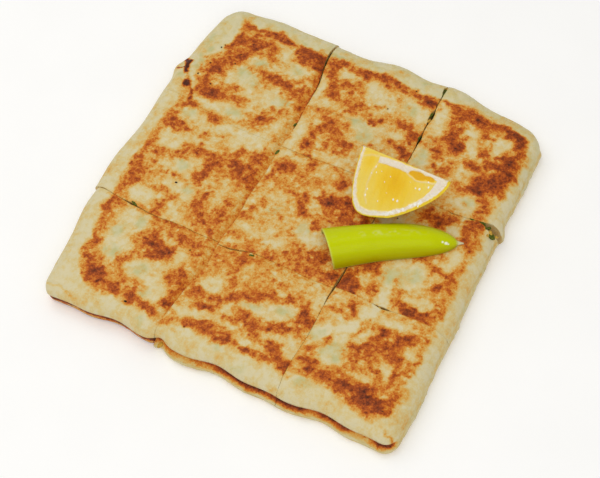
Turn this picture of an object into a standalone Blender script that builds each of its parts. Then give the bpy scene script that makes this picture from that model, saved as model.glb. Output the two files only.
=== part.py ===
"""A square stuffed pan bread, cut three by three, with a lemon wedge and half a green chilli on top.

Metres, +Z up. +X runs to the right and +Y away from the side that is served first. The bread
stands on z = 0, and the origin is in the middle of its foot.
"""
import math

import bmesh
import bpy
from mathutils import Matrix, Vector

MM = 0.001

# ---- driving dimensions, in millimetres ----
THICKNESS = 18.5  # the bread's height at the top of a piece
HALF_WIDTH = 122.0  # from the origin to the side edges
HALF_DEPTH = 122.3  # from the origin to the far and the near edge
CUT_GAP = 1.1  # the knife's gap between two pieces
DOUGH = 3.2  # thickness of the fried dough over and under the filling
FIT_GAP = 0.35  # clearance between the filling and the dough, and under what lies on top
SEAL_GAP = 1.4  # clearance between the filling and the folded border
SEALED_RIM = 10.0  # width of the folded border that has no filling
RIM_ROUND = 14.0  # width of the pale border that curves down from the top
RIM_DROP = 8.5  # how far that border falls before its free lip
CUT_SLUMP = 0.6  # how far the crust sags at a cut
LEFT_SLUMP = 2.4  # how far the left column's crust sags at the cut beside the middle column
PLAN_STEPS = 6  # even steps across the flat middle of a piece

# Where the knife went: x of the two cuts that run away, y of the two that run across.
CUT_LEFT_X = -27.0
CUT_RIGHT_X = 48.4
CUT_FAR_Y = 30.3
CUT_NEAR_Y = -46.7

LEMON_LENGTH = 56.6
LEMON_DEPTH = 34.2  # of the near cut face in the middle of its length
LEMON_EGG = 0.28  # how much deeper the left half is than the right
LEMON_BLUNT_END = 4.6  # power of the left end's outline: the higher, the squarer
LEMON_POINTED_END = 1.4  # power of the right end's outline
LEMON_OFFSET = 0.2  # how far the lemon's own axis lies below the ridge, as a share of the depth
LEMON_SLOPE = math.radians(43.0)  # of the cut face that looks to the near side
LEMON_ANGLE = math.radians(78.0)  # between the two cut faces
LEMON_TURN = math.radians(-2.2)
LEMON_AT = (59.6, 26.9)  # under the middle of the ridge

CHILLI_LENGTH = 79.5
CHILLI_WIDTH = 26.6
CHILLI_BOW = 3.0  # how far its middle bows to the far side
CHILLI_WALL = 2.8
CHILLI_TURN = math.radians(28.7)
CHILLI_CUT_SLANT = math.radians(14.0)
CHILLI_AT = (33.6, -25.9)  # the middle of its cut end

COLUMNS = ("left", "middle", "right")
ROWS = ("near", "middle", "far")

# How far each layer of the side stands out from the lip above it, and the height it has there.
# On the near side the lower layers stand out only to the right of the left column.
WALL_LEVELS = (8.6, 5.2, 1.0, 0.0)
TUCKED_NEAR = (-2.6, -1.2, -1.6, -2.6)
WALL_OUT = {
    "left": (-2.2, -0.6, -1.0, -2.6),
    "right": (0.8, 1.5, 0.5, -1.0),
    "near": (-2.6, 2.6, 2.2, 0.4),
    "far": (-2.2, -0.4, -0.8, -2.6),
}
CORNER_RADIUS = {
    ("left", "near"): 7.0,
    ("right", "near"): 9.0,
    ("left", "far"): 16.0,
    ("right", "far"): 12.0,
}


def clear_scene():
    for scene_object in list(bpy.data.objects):
        bpy.data.objects.remove(scene_object)


def make_collection(name):
    collection = bpy.data.collections.new(name)
    bpy.context.scene.collection.children.link(collection)
    return collection


def make_material(name, colour, roughness):
    material = bpy.data.materials.new(name)
    material.use_nodes = True
    shader = material.node_tree.nodes["Principled BSDF"]
    shader.inputs["Base Color"].default_value = (*colour, 1.0)
    shader.inputs["Roughness"].default_value = roughness
    shader.inputs["Metallic"].default_value = 0.0
    return material


def hump(value, middle, width):
    """A smooth hump of height one round the middle."""
    return math.exp(-(((value - middle) / width) ** 2))


def ramp(value, start, end):
    """From zero at start to one at end, with soft ends."""
    part = min(max((value - start) / (end - start), 0.0), 1.0)
    return part * part * (3.0 - 2.0 * part)


# ---- the outline and the cuts, in millimetres ----


def left_edge(y, row):
    """x of the bread's left edge: it swells by the torn fold and steps in on the near piece."""
    if row == "near":
        return -HALF_WIDTH + 4.0 + 8.0 * ramp(-y, 50.0, 115.0) + 0.4 * math.sin(y / 7.0)
    swell = 3.6 * hump(y, 61.0, 7.0) + 1.2 * hump(y, -25.0, 20.0)
    return -HALF_WIDTH + 2.37 - swell + 0.5 * math.sin(y / 9.0) + 6.0 * ramp(y, 70.0, 118.0)


def right_edge(y):
    """x of the right edge: straight, a little further out near the front, with a torn flap."""
    lean = 3.6 * ramp(y, -100.0, 60.0)
    flap = 2.6 * hump(y, 33.0, 4.5)
    return HALF_WIDTH - 1.93 - lean + flap + 0.35 * math.sin(y / 8.0)


def near_edge(x):
    """y of the lip along the near side, which hangs in shallow scallops."""
    scallops = 1.1 * math.sin(x / 11.0 + 0.6) + 0.7 * math.sin(x / 5.3)
    notch = 3.2 * hump(x, CUT_LEFT_X - 2.0, 5.0)
    return -HALF_DEPTH + 4.59 + scallops + notch


def far_edge(x, column):
    """y of the far side: three flaps of dough, the right one falling away to its corner."""
    flaps = {"left": 0.4, "middle": -2.6 + 3.4 * hump(x, 11.0, 20.0), "right": -0.6}[column]
    fall = 13.0 * ramp(x, 42.0, 125.0)
    return HALF_DEPTH - 2.11 + flaps - fall + 0.8 * math.sin(x / 7.0)


def cut_left(y):
    """x of the cut between the left and the middle column."""
    drift = -6.0 * ramp(y, 60.0, 118.0) - 5.0 * ramp(-y, 60.0, 112.0)
    return CUT_LEFT_X + drift + 0.5 * math.sin(y / 6.0)


def cut_right(y):
    """x of the cut between the middle and the right column."""
    return CUT_RIGHT_X - 1.6 * ramp(y, 60.0, 118.0) + 0.4 * math.sin(y / 7.0)


def cut_far(x, column):
    """y of the cut between the far and the middle row: it slants on the left column."""
    if column == "left":
        return CUT_FAR_Y + 9.2 - 9.0 * ramp(x, -118.0, -55.0) + 0.4 * math.sin(x / 6.0)
    return CUT_FAR_Y + 0.6 * math.sin(x / 8.0)


def cut_near(x, column):
    """y of the cut between the middle and the near row."""
    if column == "left":
        return CUT_NEAR_Y + 3.3 - 4.0 * ramp(x, -118.0, -75.0) + 0.4 * math.sin(x / 5.0)
    if column == "middle":
        return CUT_NEAR_Y - 2.4 + 3.6 * ramp(x, -22.0, -4.0) - 1.2 * ramp(x, 0.0, 30.0)
    return CUT_NEAR_Y + 0.9 + 0.4 * math.sin(x / 7.0)


def piece_edges(x, y, column, row):
    """The four edges of a piece at x, y: left, right, near and far."""
    half = CUT_GAP / 2.0
    sides = {
        "left": (left_edge(y, row), cut_left(y) - half),
        "middle": (cut_left(y) + half, cut_right(y) - half),
        "right": (cut_right(y) + half, right_edge(y)),
    }
    ends = {
        "near": (near_edge(x), cut_near(x, column) - half),
        "middle": (cut_near(x, column) + half, cut_far(x, column) - half),
        "far": (cut_far(x, column) + half, far_edge(x, column)),
    }
    return *sides[column], *ends[row]


def outer_sides(column, row):
    sides = [side for side in ("left", "right") if column == side]
    return sides + [side for side in ("near", "far") if row == side]


# ---- the top surface ----


def lies_under_topping(x, y):
    """One under the lemon and the chilli, where the crust is pressed level, and zero elsewhere."""
    lemon = math.hypot((x - LEMON_AT[0]) / 26.0, (y - LEMON_AT[1]) / 22.0)
    run = (x - CHILLI_AT[0]) * math.cos(CHILLI_TURN) + (y - CHILLI_AT[1]) * math.sin(CHILLI_TURN)
    off = (y - CHILLI_AT[1]) * math.cos(CHILLI_TURN) - (x - CHILLI_AT[0]) * math.sin(CHILLI_TURN)
    along = max(-run, run - CHILLI_LENGTH, 0.0)
    chilli = math.hypot(along, max(abs(off) - CHILLI_WIDTH / 2.0, 0.0)) / 8.0
    return 1.0 - ramp(min(lemon, 0.6 + chilli), 0.7, 1.3)


def crust_height(x, y):
    """The height of the crust away from the rims: low blisters, folds and hollows."""
    waves = 0.35 * math.sin(x / 13.0 + 1.0) * math.cos(y / 11.0)
    waves += 0.25 * math.sin(x / 6.5 - y / 9.0)
    fold = 0.8 * hump(y - 64.5, 0.0, 2.2) * ramp(x, -26.0, -18.0) * (1.0 - ramp(x, 6.0, 22.0))
    line = (y + 59.0) - 1.05 * (x - 62.0)
    fold += 1.0 * hump(line, 0.0, 5.0) * hump(x, 61.0, 13.0)
    blister = 0.7 * hump(x, 62.0, 8.0) * hump(y, -84.0, 6.0) + 0.8 * hump(x, 73.0, 8.0) * hump(y, -16.0, 8.0)
    burnt = 1.2 * hump(x, -112.0, 8.0) * hump(y, 58.0, 8.0)
    free = 1.0 - lies_under_topping(x, y)
    return THICKNESS + (waves - 0.5 + fold + blister + burnt) * free - 0.6 * (1.0 - free)


def rim_fall(distance):
    """How far the rounded border lies under the crust at a distance from the lip."""
    share = min(distance / RIM_ROUND, 1.0)
    return RIM_DROP * (1.0 - math.sqrt(max(1.0 - (1.0 - share) ** 2.4, 0.0)))


# ---- one piece of the bread ----


def stations(width, first_is_outer, last_is_outer):
    """The shares of a piece's width at which its grid has a line: closer at rims and cuts."""
    rim_lines = (0.0, 1.0, 4.0, 8.5, RIM_ROUND)
    cut_lines = (0.0, 3.0)
    first = rim_lines if first_is_outer else cut_lines
    last = rim_lines if last_is_outer else cut_lines
    span = width - first[-1] - last[-1]
    middle = [first[-1] + span * step / PLAN_STEPS for step in range(1, PLAN_STEPS)]
    lines = list(first) + middle + [width - line for line in reversed(last)]
    return [line / width for line in lines]


def piece_size(column, row):
    left, right, near, far = piece_edges(0.0, 0.0, column, row)
    return right - left, far - near


def place_in_plan(u, v, column, row, outward):
    """The x and y of the share u, v of a piece, moved outward on its outer sides, how far the
    point lies from the lip, and how far it sags beside a cut."""
    width, depth = piece_size(column, row)
    sides = outer_sides(column, row)
    x = y = 0.0
    for _ in range(6):
        left, right, near, far = piece_edges(x, y, column, row)
        x = left + u * (right - left)
        y = near + v * (far - near)
    from_side = u * width if column == "left" else (1.0 - u) * width
    from_end = v * depth if row == "near" else (1.0 - v) * depth
    sign_x = -1.0 if column == "left" else 1.0
    sign_y = -1.0 if row == "near" else 1.0
    lip = 1000.0
    out_x = out_y = 0.0
    if column != "middle":
        lip = from_side
        out_x = 1.0 if from_side < 0.01 else 0.0
    if row != "middle":
        lip = min(lip, from_end)
        out_y = 1.0 if from_end < 0.01 else 0.0
    if column != "middle" and row != "middle":
        radius = CORNER_RADIUS[(column, row)]
        across = 1.0 - from_side / radius
        along = 1.0 - from_end / radius
        if across > 0.0 and along > 0.0:
            round_across = across * math.sqrt(1.0 - along * along / 2.0)
            round_along = along * math.sqrt(1.0 - across * across / 2.0)
            x += sign_x * radius * (round_across - across)
            y += sign_y * radius * (round_along - along)
            lip = radius * (1.0 - math.hypot(round_across, round_along))
            if out_x or out_y:
                out_x = round_across
                out_y = round_along
    for side in sides:
        if side in ("left", "right"):
            x += sign_x * out_x * outward[side]
        else:
            y += sign_y * out_y * outward[side]
    sag = CUT_SLUMP * hump(u * width, 0.0, 2.4) if column != "left" else 0.0
    if column == "left":
        sag = max(sag, LEFT_SLUMP * hump((1.0 - u) * width, 0.0, 3.4))
    elif column == "middle":
        sag = max(sag, CUT_SLUMP * hump((1.0 - u) * width, 0.0, 2.4))
    if row != "near":
        sag = max(sag, CUT_SLUMP * hump(v * depth, 0.0, 2.4))
    if row != "far":
        sag = max(sag, CUT_SLUMP * hump((1.0 - v) * depth, 0.0, 2.4))
    return x, y, lip, sag


def block_mesh(name, lines_u, lines_v, levels, place):
    """A block on a grid of lines, with one ring of its side at each level. The function place
    gives a point for two shares and a level, where level zero is the top."""
    bm = bmesh.new()
    steps_u = len(lines_u) - 1
    steps_v = len(lines_v) - 1
    bmesh.ops.create_grid(bm, x_segments=steps_u, y_segments=steps_v, size=0.5)
    for level in range(1, levels + 1):
        border = [edge for edge in bm.edges if edge.is_boundary]
        grown = bmesh.ops.extrude_edge_only(bm, edges=border)["geom"]
        for vertex in (item for item in grown if isinstance(item, bmesh.types.BMVert)):
            vertex.co.z = -float(level)
    border = [edge for edge in bm.edges if edge.is_boundary]
    bmesh.ops.edgeloop_fill(bm, edges=border)
    for vertex in bm.verts:
        u = lines_u[round((vertex.co.x + 0.5) * steps_u)]
        v = lines_v[round((vertex.co.y + 0.5) * steps_v)]
        vertex.co = Vector(place(u, v, round(-vertex.co.z))) * MM
    bmesh.ops.recalc_face_normals(bm, faces=bm.faces)
    mesh = bpy.data.meshes.new(name)
    bm.to_mesh(mesh)
    bm.free()
    mesh.shade_smooth()
    mesh.set_sharp_from_angle(angle=math.radians(40.0))
    return mesh


def make_object(name, mesh, collection, material):
    new_object = bpy.data.objects.new(name, mesh)
    mesh.materials.append(material)
    collection.objects.link(new_object)
    return new_object


def crust_top(x, y, lip, sag):
    return crust_height(x, y) - rim_fall(lip) - sag * min(lip / RIM_ROUND, 1.0)


def dough_mesh(name, column, row, low, high):
    """The dough of one piece between two heights; high None is the crust itself."""
    width, depth = piece_size(column, row)
    lines_u = stations(width, column == "left", column == "right")
    lines_v = stations(depth, row == "near", row == "far")
    whole = low == 0.0 and high is None
    heights = WALL_LEVELS if whole else (low,)

    def place(u, v, level):
        if level == 0:
            x, y, lip, sag = place_in_plan(u, v, column, row, dict.fromkeys(WALL_OUT, 0.0))
            top = crust_top(x, y, lip, sag) if high is None else high
            return x, y, top
        outward = {side: WALL_OUT[side][level - 1] for side in WALL_OUT}
        if column == "left":
            outward["near"] = TUCKED_NEAR[level - 1]
        x, y, _, _ = place_in_plan(u, v, column, row, outward)
        return x, y, heights[level - 1]

    return block_mesh(name, lines_u, lines_v, len(heights), place)


def filling_mesh(name, column, row, swell, seal, reach):
    """The slab of filling: it stops short of the sealed rim, and runs out to the cuts."""
    width, depth = piece_size(column, row)
    grow_u = reach / width
    grow_v = reach / depth
    rim_u = (SEALED_RIM - seal) / width
    rim_v = (SEALED_RIM - seal) / depth
    first_u = rim_u if column == "left" else -grow_u
    last_u = 1.0 - rim_u if column == "right" else 1.0 + grow_u
    first_v = rim_v if row == "near" else -grow_v
    last_v = 1.0 - rim_v if row == "far" else 1.0 + grow_v
    steps = 5
    lines_u = [first_u + (last_u - first_u) * step / steps for step in range(steps + 1)]
    lines_v = [first_v + (last_v - first_v) * step / steps for step in range(steps + 1)]
    low = DOUGH + FIT_GAP - swell
    high = THICKNESS - DOUGH - FIT_GAP - 1.2 + swell

    def place(u, v, level):
        x, y, _, _ = place_in_plan(u, v, column, row, dict.fromkeys(WALL_OUT, 0.0))
        return x, y, low if level else high

    return block_mesh(name, lines_u, lines_v, 1, place)


def build_pieces(parts, cutters, dough, filling):
    for row in ROWS:
        for column in COLUMNS:
            place_name = "centre" if column == row == "middle" else f"{row}_{column}"
            if place_name == "centre":
                bottom = dough_mesh("dough_centre_bottom", column, row, 0.0, DOUGH)
                make_object("dough_centre_bottom", bottom, parts, dough)
                low = THICKNESS - DOUGH - 1.2
                top = dough_mesh("dough_centre_top", column, row, low, None)
                make_object("dough_centre_top", top, parts, dough)
            else:
                name = f"dough_{place_name}"
                wrapper = make_object(name, dough_mesh(name, column, row, 0.0, None), parts, dough)
                hollow_name = f"hollow_{place_name}"
                hollow_mesh = filling_mesh(hollow_name, column, row, FIT_GAP, SEAL_GAP, 3.0)
                hollow = make_object(hollow_name, hollow_mesh, cutters, dough)
                hollow.hide_render = True
                hollow.display_type = "WIRE"
                cut = wrapper.modifiers.new("hollow", "BOOLEAN")
                cut.operation = "DIFFERENCE"
                cut.solver = "EXACT"
                cut.object = hollow
            name = f"filling_{place_name}"
            make_object(name, filling_mesh(name, column, row, 0.0, 0.0, -0.2), parts, filling)


# ---- the lemon wedge ----


def lemon_depth(share):
    """Depth of the near cut face, at a share of the way from the middle to an end."""
    power = LEMON_BLUNT_END if share < 0.0 else LEMON_POINTED_END
    return LEMON_DEPTH * (1.0 - LEMON_EGG * share) * math.sqrt(max(1.0 - abs(share) ** power, 0.0))


def build_lemon(parts, material):
    """An egg-shaped lemon cut by two planes that meet in a level ridge; it lies on its rind."""
    bm = bmesh.new()
    bmesh.ops.create_uvsphere(bm, u_segments=28, v_segments=22, radius=1.0)
    near_normal = Vector((0.0, -math.sin(LEMON_SLOPE), math.cos(LEMON_SLOPE)))
    down_face = Vector((0.0, -math.cos(LEMON_SLOPE), -math.sin(LEMON_SLOPE)))
    far_normal = Matrix.Rotation(LEMON_ANGLE - math.pi, 3, "X") @ near_normal
    for vertex in bm.verts:
        share = vertex.co.z
        depth = lemon_depth(share)
        round_way = Vector((0.0, vertex.co.x, vertex.co.y))
        ring = round_way.normalized() * depth * (1.0 - LEMON_OFFSET) if round_way.length else round_way
        vertex.co = Vector((share * LEMON_LENGTH / 2.0, 0.0, 0.0)) + ring + down_face * depth * LEMON_OFFSET
    for normal in (near_normal, far_normal):
        geometry = bm.verts[:] + bm.edges[:] + bm.faces[:]
        bmesh.ops.bisect_plane(
            bm, geom=geometry, dist=1e-5, plane_co=(0.0, 0.0, 0.0), plane_no=normal, clear_outer=True
        )
        border = [edge for edge in bm.edges if edge.is_boundary]
        bmesh.ops.edgeloop_fill(bm, edges=border)
    lowest = min(vertex.co.z for vertex in bm.verts)
    rest = THICKNESS - 0.6 + FIT_GAP
    turn_level = Matrix.Rotation(LEMON_TURN, 3, "Z")
    for vertex in bm.verts:
        vertex.co = (turn_level @ vertex.co + Vector((*LEMON_AT, rest - lowest))) * MM
    bmesh.ops.recalc_face_normals(bm, faces=bm.faces)
    mesh = bpy.data.meshes.new("lemon_wedge")
    bm.to_mesh(mesh)
    bm.free()
    mesh.shade_smooth()
    mesh.set_sharp_from_angle(angle=math.radians(35.0))
    make_object("lemon_wedge", mesh, parts, material)


# ---- the half chilli ----


def chilli_radius(share):
    """Half the chilli's width along its length: it narrows slowly, then to a blunt point with
    a dry tip."""
    body = CHILLI_WIDTH / 2.0 * (1.0 - 0.24 * share)
    shoulder = max(1.0 - (max(share - 0.4, 0.0) / 0.57) ** 2.6, 0.0)
    return max(body * shoulder**0.6, 0.9)


def half_round(name, radius_at, first, last, steps, sides, base):
    """A half-round bar that lies on its flat side: a grid bent over the axis and closed below."""

    def place(u, v):
        share = first + (last - first) * u
        radius = radius_at(share)
        angle = math.pi * v
        along = share * CHILLI_LENGTH
        across = -radius * math.cos(angle)
        height = 0.96 * radius * math.sin(angle)
        along -= across * math.tan(CHILLI_CUT_SLANT) * (1.0 - ramp(share, 0.0, 0.5))
        across += CHILLI_BOW * math.sin(math.pi * min(max(share, 0.0), 1.0))
        x = CHILLI_AT[0] + along * math.cos(CHILLI_TURN) - across * math.sin(CHILLI_TURN)
        y = CHILLI_AT[1] + along * math.sin(CHILLI_TURN) + across * math.cos(CHILLI_TURN)
        return x, y, base + height

    bm = bmesh.new()
    bmesh.ops.create_grid(bm, x_segments=steps, y_segments=sides, size=0.5)
    for vertex in bm.verts:
        vertex.co = Vector(place(vertex.co.x + 0.5, vertex.co.y + 0.5)) * MM
    border = [edge for edge in bm.edges if edge.is_boundary]
    bmesh.ops.holes_fill(bm, edges=border, sides=0)
    bmesh.ops.triangulate(bm, faces=[face for face in bm.faces if len(face.verts) > 4])
    bmesh.ops.recalc_face_normals(bm, faces=bm.faces)
    mesh = bpy.data.meshes.new(name)
    bm.to_mesh(mesh)
    bm.free()
    mesh.shade_smooth()
    mesh.set_sharp_from_angle(angle=math.radians(50.0))
    return mesh


def build_chilli(parts, cutters, material):
    base = THICKNESS - 0.6 + FIT_GAP
    outer = half_round("chilli_half", chilli_radius, 0.0, 1.0, 26, 12, base)
    body = make_object("chilli_half", outer, parts, material)

    def inner_radius(share):
        return max(chilli_radius(max(share, 0.0)) - CHILLI_WALL, 1.5)

    inner = half_round("chilli_hollow", inner_radius, -0.08, 0.84, 16, 10, base - 1.0)
    hollow = make_object("chilli_hollow", inner, cutters, material)
    hollow.hide_render = True
    hollow.display_type = "WIRE"
    cut = body.modifiers.new("hollow", "BOOLEAN")
    cut.operation = "DIFFERENCE"
    cut.solver = "EXACT"
    cut.object = hollow


def main():
    clear_scene()
    parts = make_collection("stuffed_pan_bread")
    cutters = make_collection("cutters")
    dough = make_material("fried_dough", (0.62, 0.38, 0.13), 0.6)
    filling = make_material("egg_and_herb_filling", (0.30, 0.33, 0.08), 0.7)
    lemon = make_material("lemon", (0.85, 0.62, 0.08), 0.35)
    chilli = make_material("green_chilli", (0.45, 0.56, 0.01), 0.3)
    build_pieces(parts, cutters, dough, filling)
    build_lemon(parts, lemon)
    build_chilli(parts, cutters, chilli)


main()
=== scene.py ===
"""The looks of a square stuffed pan bread, cut three by three, with a lemon wedge and half a chilli.

Lengths are in millimetres until a mesh is made. The frame is that of the solids: +X to the right,
+Y from the near side to the far side, +Z up, and the bread stands on z = 0.
"""
import math

import bmesh
import bpy
import numpy as np
from mathutils import Matrix, Vector


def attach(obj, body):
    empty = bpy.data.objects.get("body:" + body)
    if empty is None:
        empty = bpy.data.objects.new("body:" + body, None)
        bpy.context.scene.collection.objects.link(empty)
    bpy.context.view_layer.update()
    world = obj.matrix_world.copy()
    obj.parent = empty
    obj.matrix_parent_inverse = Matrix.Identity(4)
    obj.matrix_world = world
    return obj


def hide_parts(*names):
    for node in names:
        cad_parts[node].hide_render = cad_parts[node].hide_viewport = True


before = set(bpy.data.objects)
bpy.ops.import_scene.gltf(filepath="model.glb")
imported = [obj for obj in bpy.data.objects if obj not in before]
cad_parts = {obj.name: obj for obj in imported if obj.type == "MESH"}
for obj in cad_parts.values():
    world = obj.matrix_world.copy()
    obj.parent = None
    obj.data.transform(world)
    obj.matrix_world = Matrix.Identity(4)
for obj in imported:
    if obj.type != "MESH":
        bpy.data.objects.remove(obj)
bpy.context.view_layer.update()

MM = 0.001

# ---- the dimensions of the solids ----
THICKNESS = 18.5
HALF_WIDTH = 122.0
HALF_DEPTH = 122.3
DOUGH = 3.2
FIT_GAP = 0.35
SEAL_GAP = 1.4
SEALED_RIM = 10.0
RIM_ROUND = 14.0
RIM_DROP = 8.5
CUT_SLUMP = 0.6
LEFT_SLUMP = 2.4
CUT_LEFT_X = -27.0
CUT_RIGHT_X = 48.4
CUT_FAR_Y = 30.3
CUT_NEAR_Y = -46.7
# What the filling keeps free above it, and how deep the lemon and the chilli press the crust.
FILLING_SLACK = 1.2
PRESSED = 0.6
REST_HEIGHT = THICKNESS - PRESSED + FIT_GAP

# ---- how fine the meshes are ----
CRUST_STEP = 0.75
FOOT_STEP = 3.0
HOLLOW_STEP = 12.0
FILLING_STEP = 2.0
SIDE_RINGS = 16
CENTRE_RINGS = 4
FILLING_RINGS = 8
LEMON_STATIONS = 220
LEMON_FACE_LINES = 84
LEMON_RIND_LINES = 56
CHILLI_STEPS = 150
CHILLI_SIDES = 72
NOISE_CELLS = 64

# ---- the toppings ----
LEMON_LENGTH = 56.6
LEMON_DEPTH = 34.2
LEMON_EGG = 0.28
LEMON_BLUNT_END = 4.6
LEMON_POINTED_END = 1.4
LEMON_OFFSET = 0.2
LEMON_SLOPE = math.radians(43.0)
LEMON_ANGLE = math.radians(78.0)
LEMON_TURN = math.radians(-2.2)
LEMON_AT = (59.6, 26.9)

# On the lemon's near cut face: along the ridge from its middle, and down from the ridge.
CORE_TOP = ((-17.0, 2.2), (-10.0, 1.3), (0.0, 0.8), (10.0, 0.2), (16.0, -0.5), (28.0, -1.0))
CORE_FOOT = ((-17.0, 6.4), (-10.0, 5.0), (2.0, 4.8), (5.0, 3.6), (12.0, 2.8), (21.0, 3.0), (28.0, 3.0))
RIDGE_WALL = ((-26.5, 6.0), (-23.5, 4.0), (-20.0, 2.9), (-16.5, 2.0))
LEFT_WALL = ((-16.0, 6.0), (-17.5, 12.0), (-18.0, 20.0), (-17.0, 27.0), (-15.0, 31.0))
RIGHT_WALL = ((2.0, 4.8), (5.0, 6.2), (8.5, 7.0), (12.0, 6.6), (16.0, 5.4), (20.0, 4.8))
# How wide the pith and the peel are inside the skin, by the place along the ridge.
PITH_WIDTH = (
    (-28.0, 1.6), (-24.0, 2.1), (-20.0, 3.3), (-16.0, 3.9), (-8.0, 3.8), (2.0, 3.9), (8.0, 3.5),
    (13.0, 3.8), (16.5, 4.3), (19.0, 5.6), (20.0, 7.0), (28.0, 8.5),
)
PEEL_WIDTH = ((-28.0, 0.5), (-12.0, 0.8), (0.0, 1.3), (12.0, 1.7), (28.0, 1.5))
# Flesh seen deep between the walls: the middle along and down, and the two half widths.
DEEP_SEGMENTS = ((9.2, 4.0, 5.4, 2.5), (16.2, 3.3, 3.4, 1.5), (6.0, 3.9, 3.2, 1.6))
# Painted highlights: pale flecks on the wet flesh; the place along and down, and the size.
PAINTED_FLECKS = (
    (17.2, 8.0, 0.9), (12.6, 11.0, 0.9), (10.2, 11.4, 0.6), (0.0, 22.6, 0.8), (2.6, 22.4, 0.9),
    (15.2, 20.4, 0.9), (-6.3, 10.8, 0.5), (-8.6, 15.0, 0.5), (-16.4, 8.6, 0.7), (-17.6, 13.0, 0.5),
    (-17.0, 22.8, 0.7), (-16.8, 26.6, 0.8), (-8.6, 27.0, 0.5), (6.0, 9.2, 0.4), (-15.0, 11.6, 0.5),
    (-12.4, 10.0, 0.4), (-5.2, 20.6, 0.4), (16.2, 5.2, 0.6),
)
# How strong the painted highlight along the wet cut rim of the lemon is: from its left end to its right,
# in along.
PAINTED_GLINT_REACH = ((-18, 0.0), (-12, 0.2), (-4, 0.45), (2, 0.9), (11, 1.0), (18, 0.75), (23, 0.3), (27, 0.0))

CHILLI_LENGTH = 79.5
CHILLI_WIDTH = 26.6
CHILLI_BOW = 3.0
CHILLI_WALL = 2.8
CHILLI_TURN = math.radians(28.7)
CHILLI_CUT_SLANT = math.radians(14.0)
CHILLI_AT = (33.6, -25.9)
# Painted highlights by its tip: share along it, share across it and size.
CHILLI_PAINTED_GLINTS = ((0.868, 0.31, 0.8), (0.842, 0.34, 0.5), (0.884, 0.28, 0.4))

# ---- the pieces of bread ----
COLUMNS = ("left", "middle", "right")
ROWS = ("near", "middle", "far")
CORNER_RADIUS = {
    ("left", "near"): 7.0,
    ("right", "near"): 9.0,
    ("left", "far"): 16.0,
    ("right", "far"): 12.0,
}
# How near its outer side a cut starts to follow that side in and out.
CORNER_PULL = 6.0
# The half widths of the slump beside a plain cut and beside the left cut.
SLUMP_WIDTH = 2.4
LEFT_SLUMP_WIDTH = 3.4
# Half the width of the two long cuts, and of the near cut, where they are narrowest.
NARROWEST_GAP = 0.02
NARROWEST_NEAR_GAP = 0.01
# Where the cuts are torn open: how wide, where along the cut, and over what length.
LEFT_CUT_TEARS = ((0.6, 108.0, 10.0), (0.3, 50.0, 6.0))
RIGHT_CUT_TEARS = ((0.9, 112.0, 5.0), (1.1, 89.0, 5.5), (0.8, 71.0, 4.0), (0.6, -42.0, 9.0))
FAR_CUT_TEARS = {"middle": ((0.4, -9.0, 3.0),), "right": ((3.6, 114.0, 6.0), (0.35, 89.0, 4.0))}

# How far each side stands out from the lip above it, at heights from the foot up.
WALL_HEIGHTS = (0.0, 0.5, 1.0, 2.6, 4.2, 5.2, 6.2, 7.2, 8.0, 8.6, 9.2, 9.9)
WALL_OUT = {
    "left": (-2.6, -1.5, -1.0, -0.7, -0.5, -0.6, -1.1, -1.7, -2.2, -2.2, -1.0, 0.0),
    "right": (-1.0, 0.0, 0.5, 1.1, 1.5, 1.5, 1.3, 1.0, 0.8, 0.8, 0.5, 0.0),
    "near": (0.4, 1.6, 2.2, 2.5, 2.7, 2.6, 1.6, -0.4, -2.2, -2.6, -1.4, 0.0),
    "far": (-2.6, -1.5, -0.8, -0.5, -0.4, -0.4, -1.0, -1.8, -2.2, -2.2, -1.0, 0.0),
    "tucked": (-2.6, -2.0, -1.6, -1.3, -1.1, -1.2, -1.7, -2.3, -2.6, -2.6, -1.2, 0.0),
}
# How brown each side is at those heights, with painted shade: the dark band under the lip is partly
# toasting and partly painted shadow in the recess, and the darker foot is partly browning and partly
# painted contact shadow.
WALL_TOAST_AND_SHADE = {
    "near": (0.45, 0.25, 0.18, 0.1, 0.06, 0.16, 0.6, 1.15, 1.2, 0.8, 0.2, 0.04),
    "tucked": (1.0, 1.0, 0.8, 0.3, 0.7, 1.0, 1.1, 1.0, 0.9, 0.7, 0.2, 0.05),
    "other": (0.5, 0.3, 0.15, 0.08, 0.06, 0.06, 0.1, 0.16, 0.2, 0.15, 0.1, 0.05),
}
# How strong the dark seam under the near lip is, by x: toasting and painted shade in the recess.
NEAR_SEAM_SHADE = (
    (-28, 0.5), (-10, 0.3), (6, 0.5), (12, 1.0), (38, 1.0), (42, 0.4), (46, 1.0), (64, 0.95), (69, 0.3),
    (76, 0.85), (92, 0.85), (96, 0.25), (104, 0.3), (110, 0.9), (124, 0.9),
)

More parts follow.
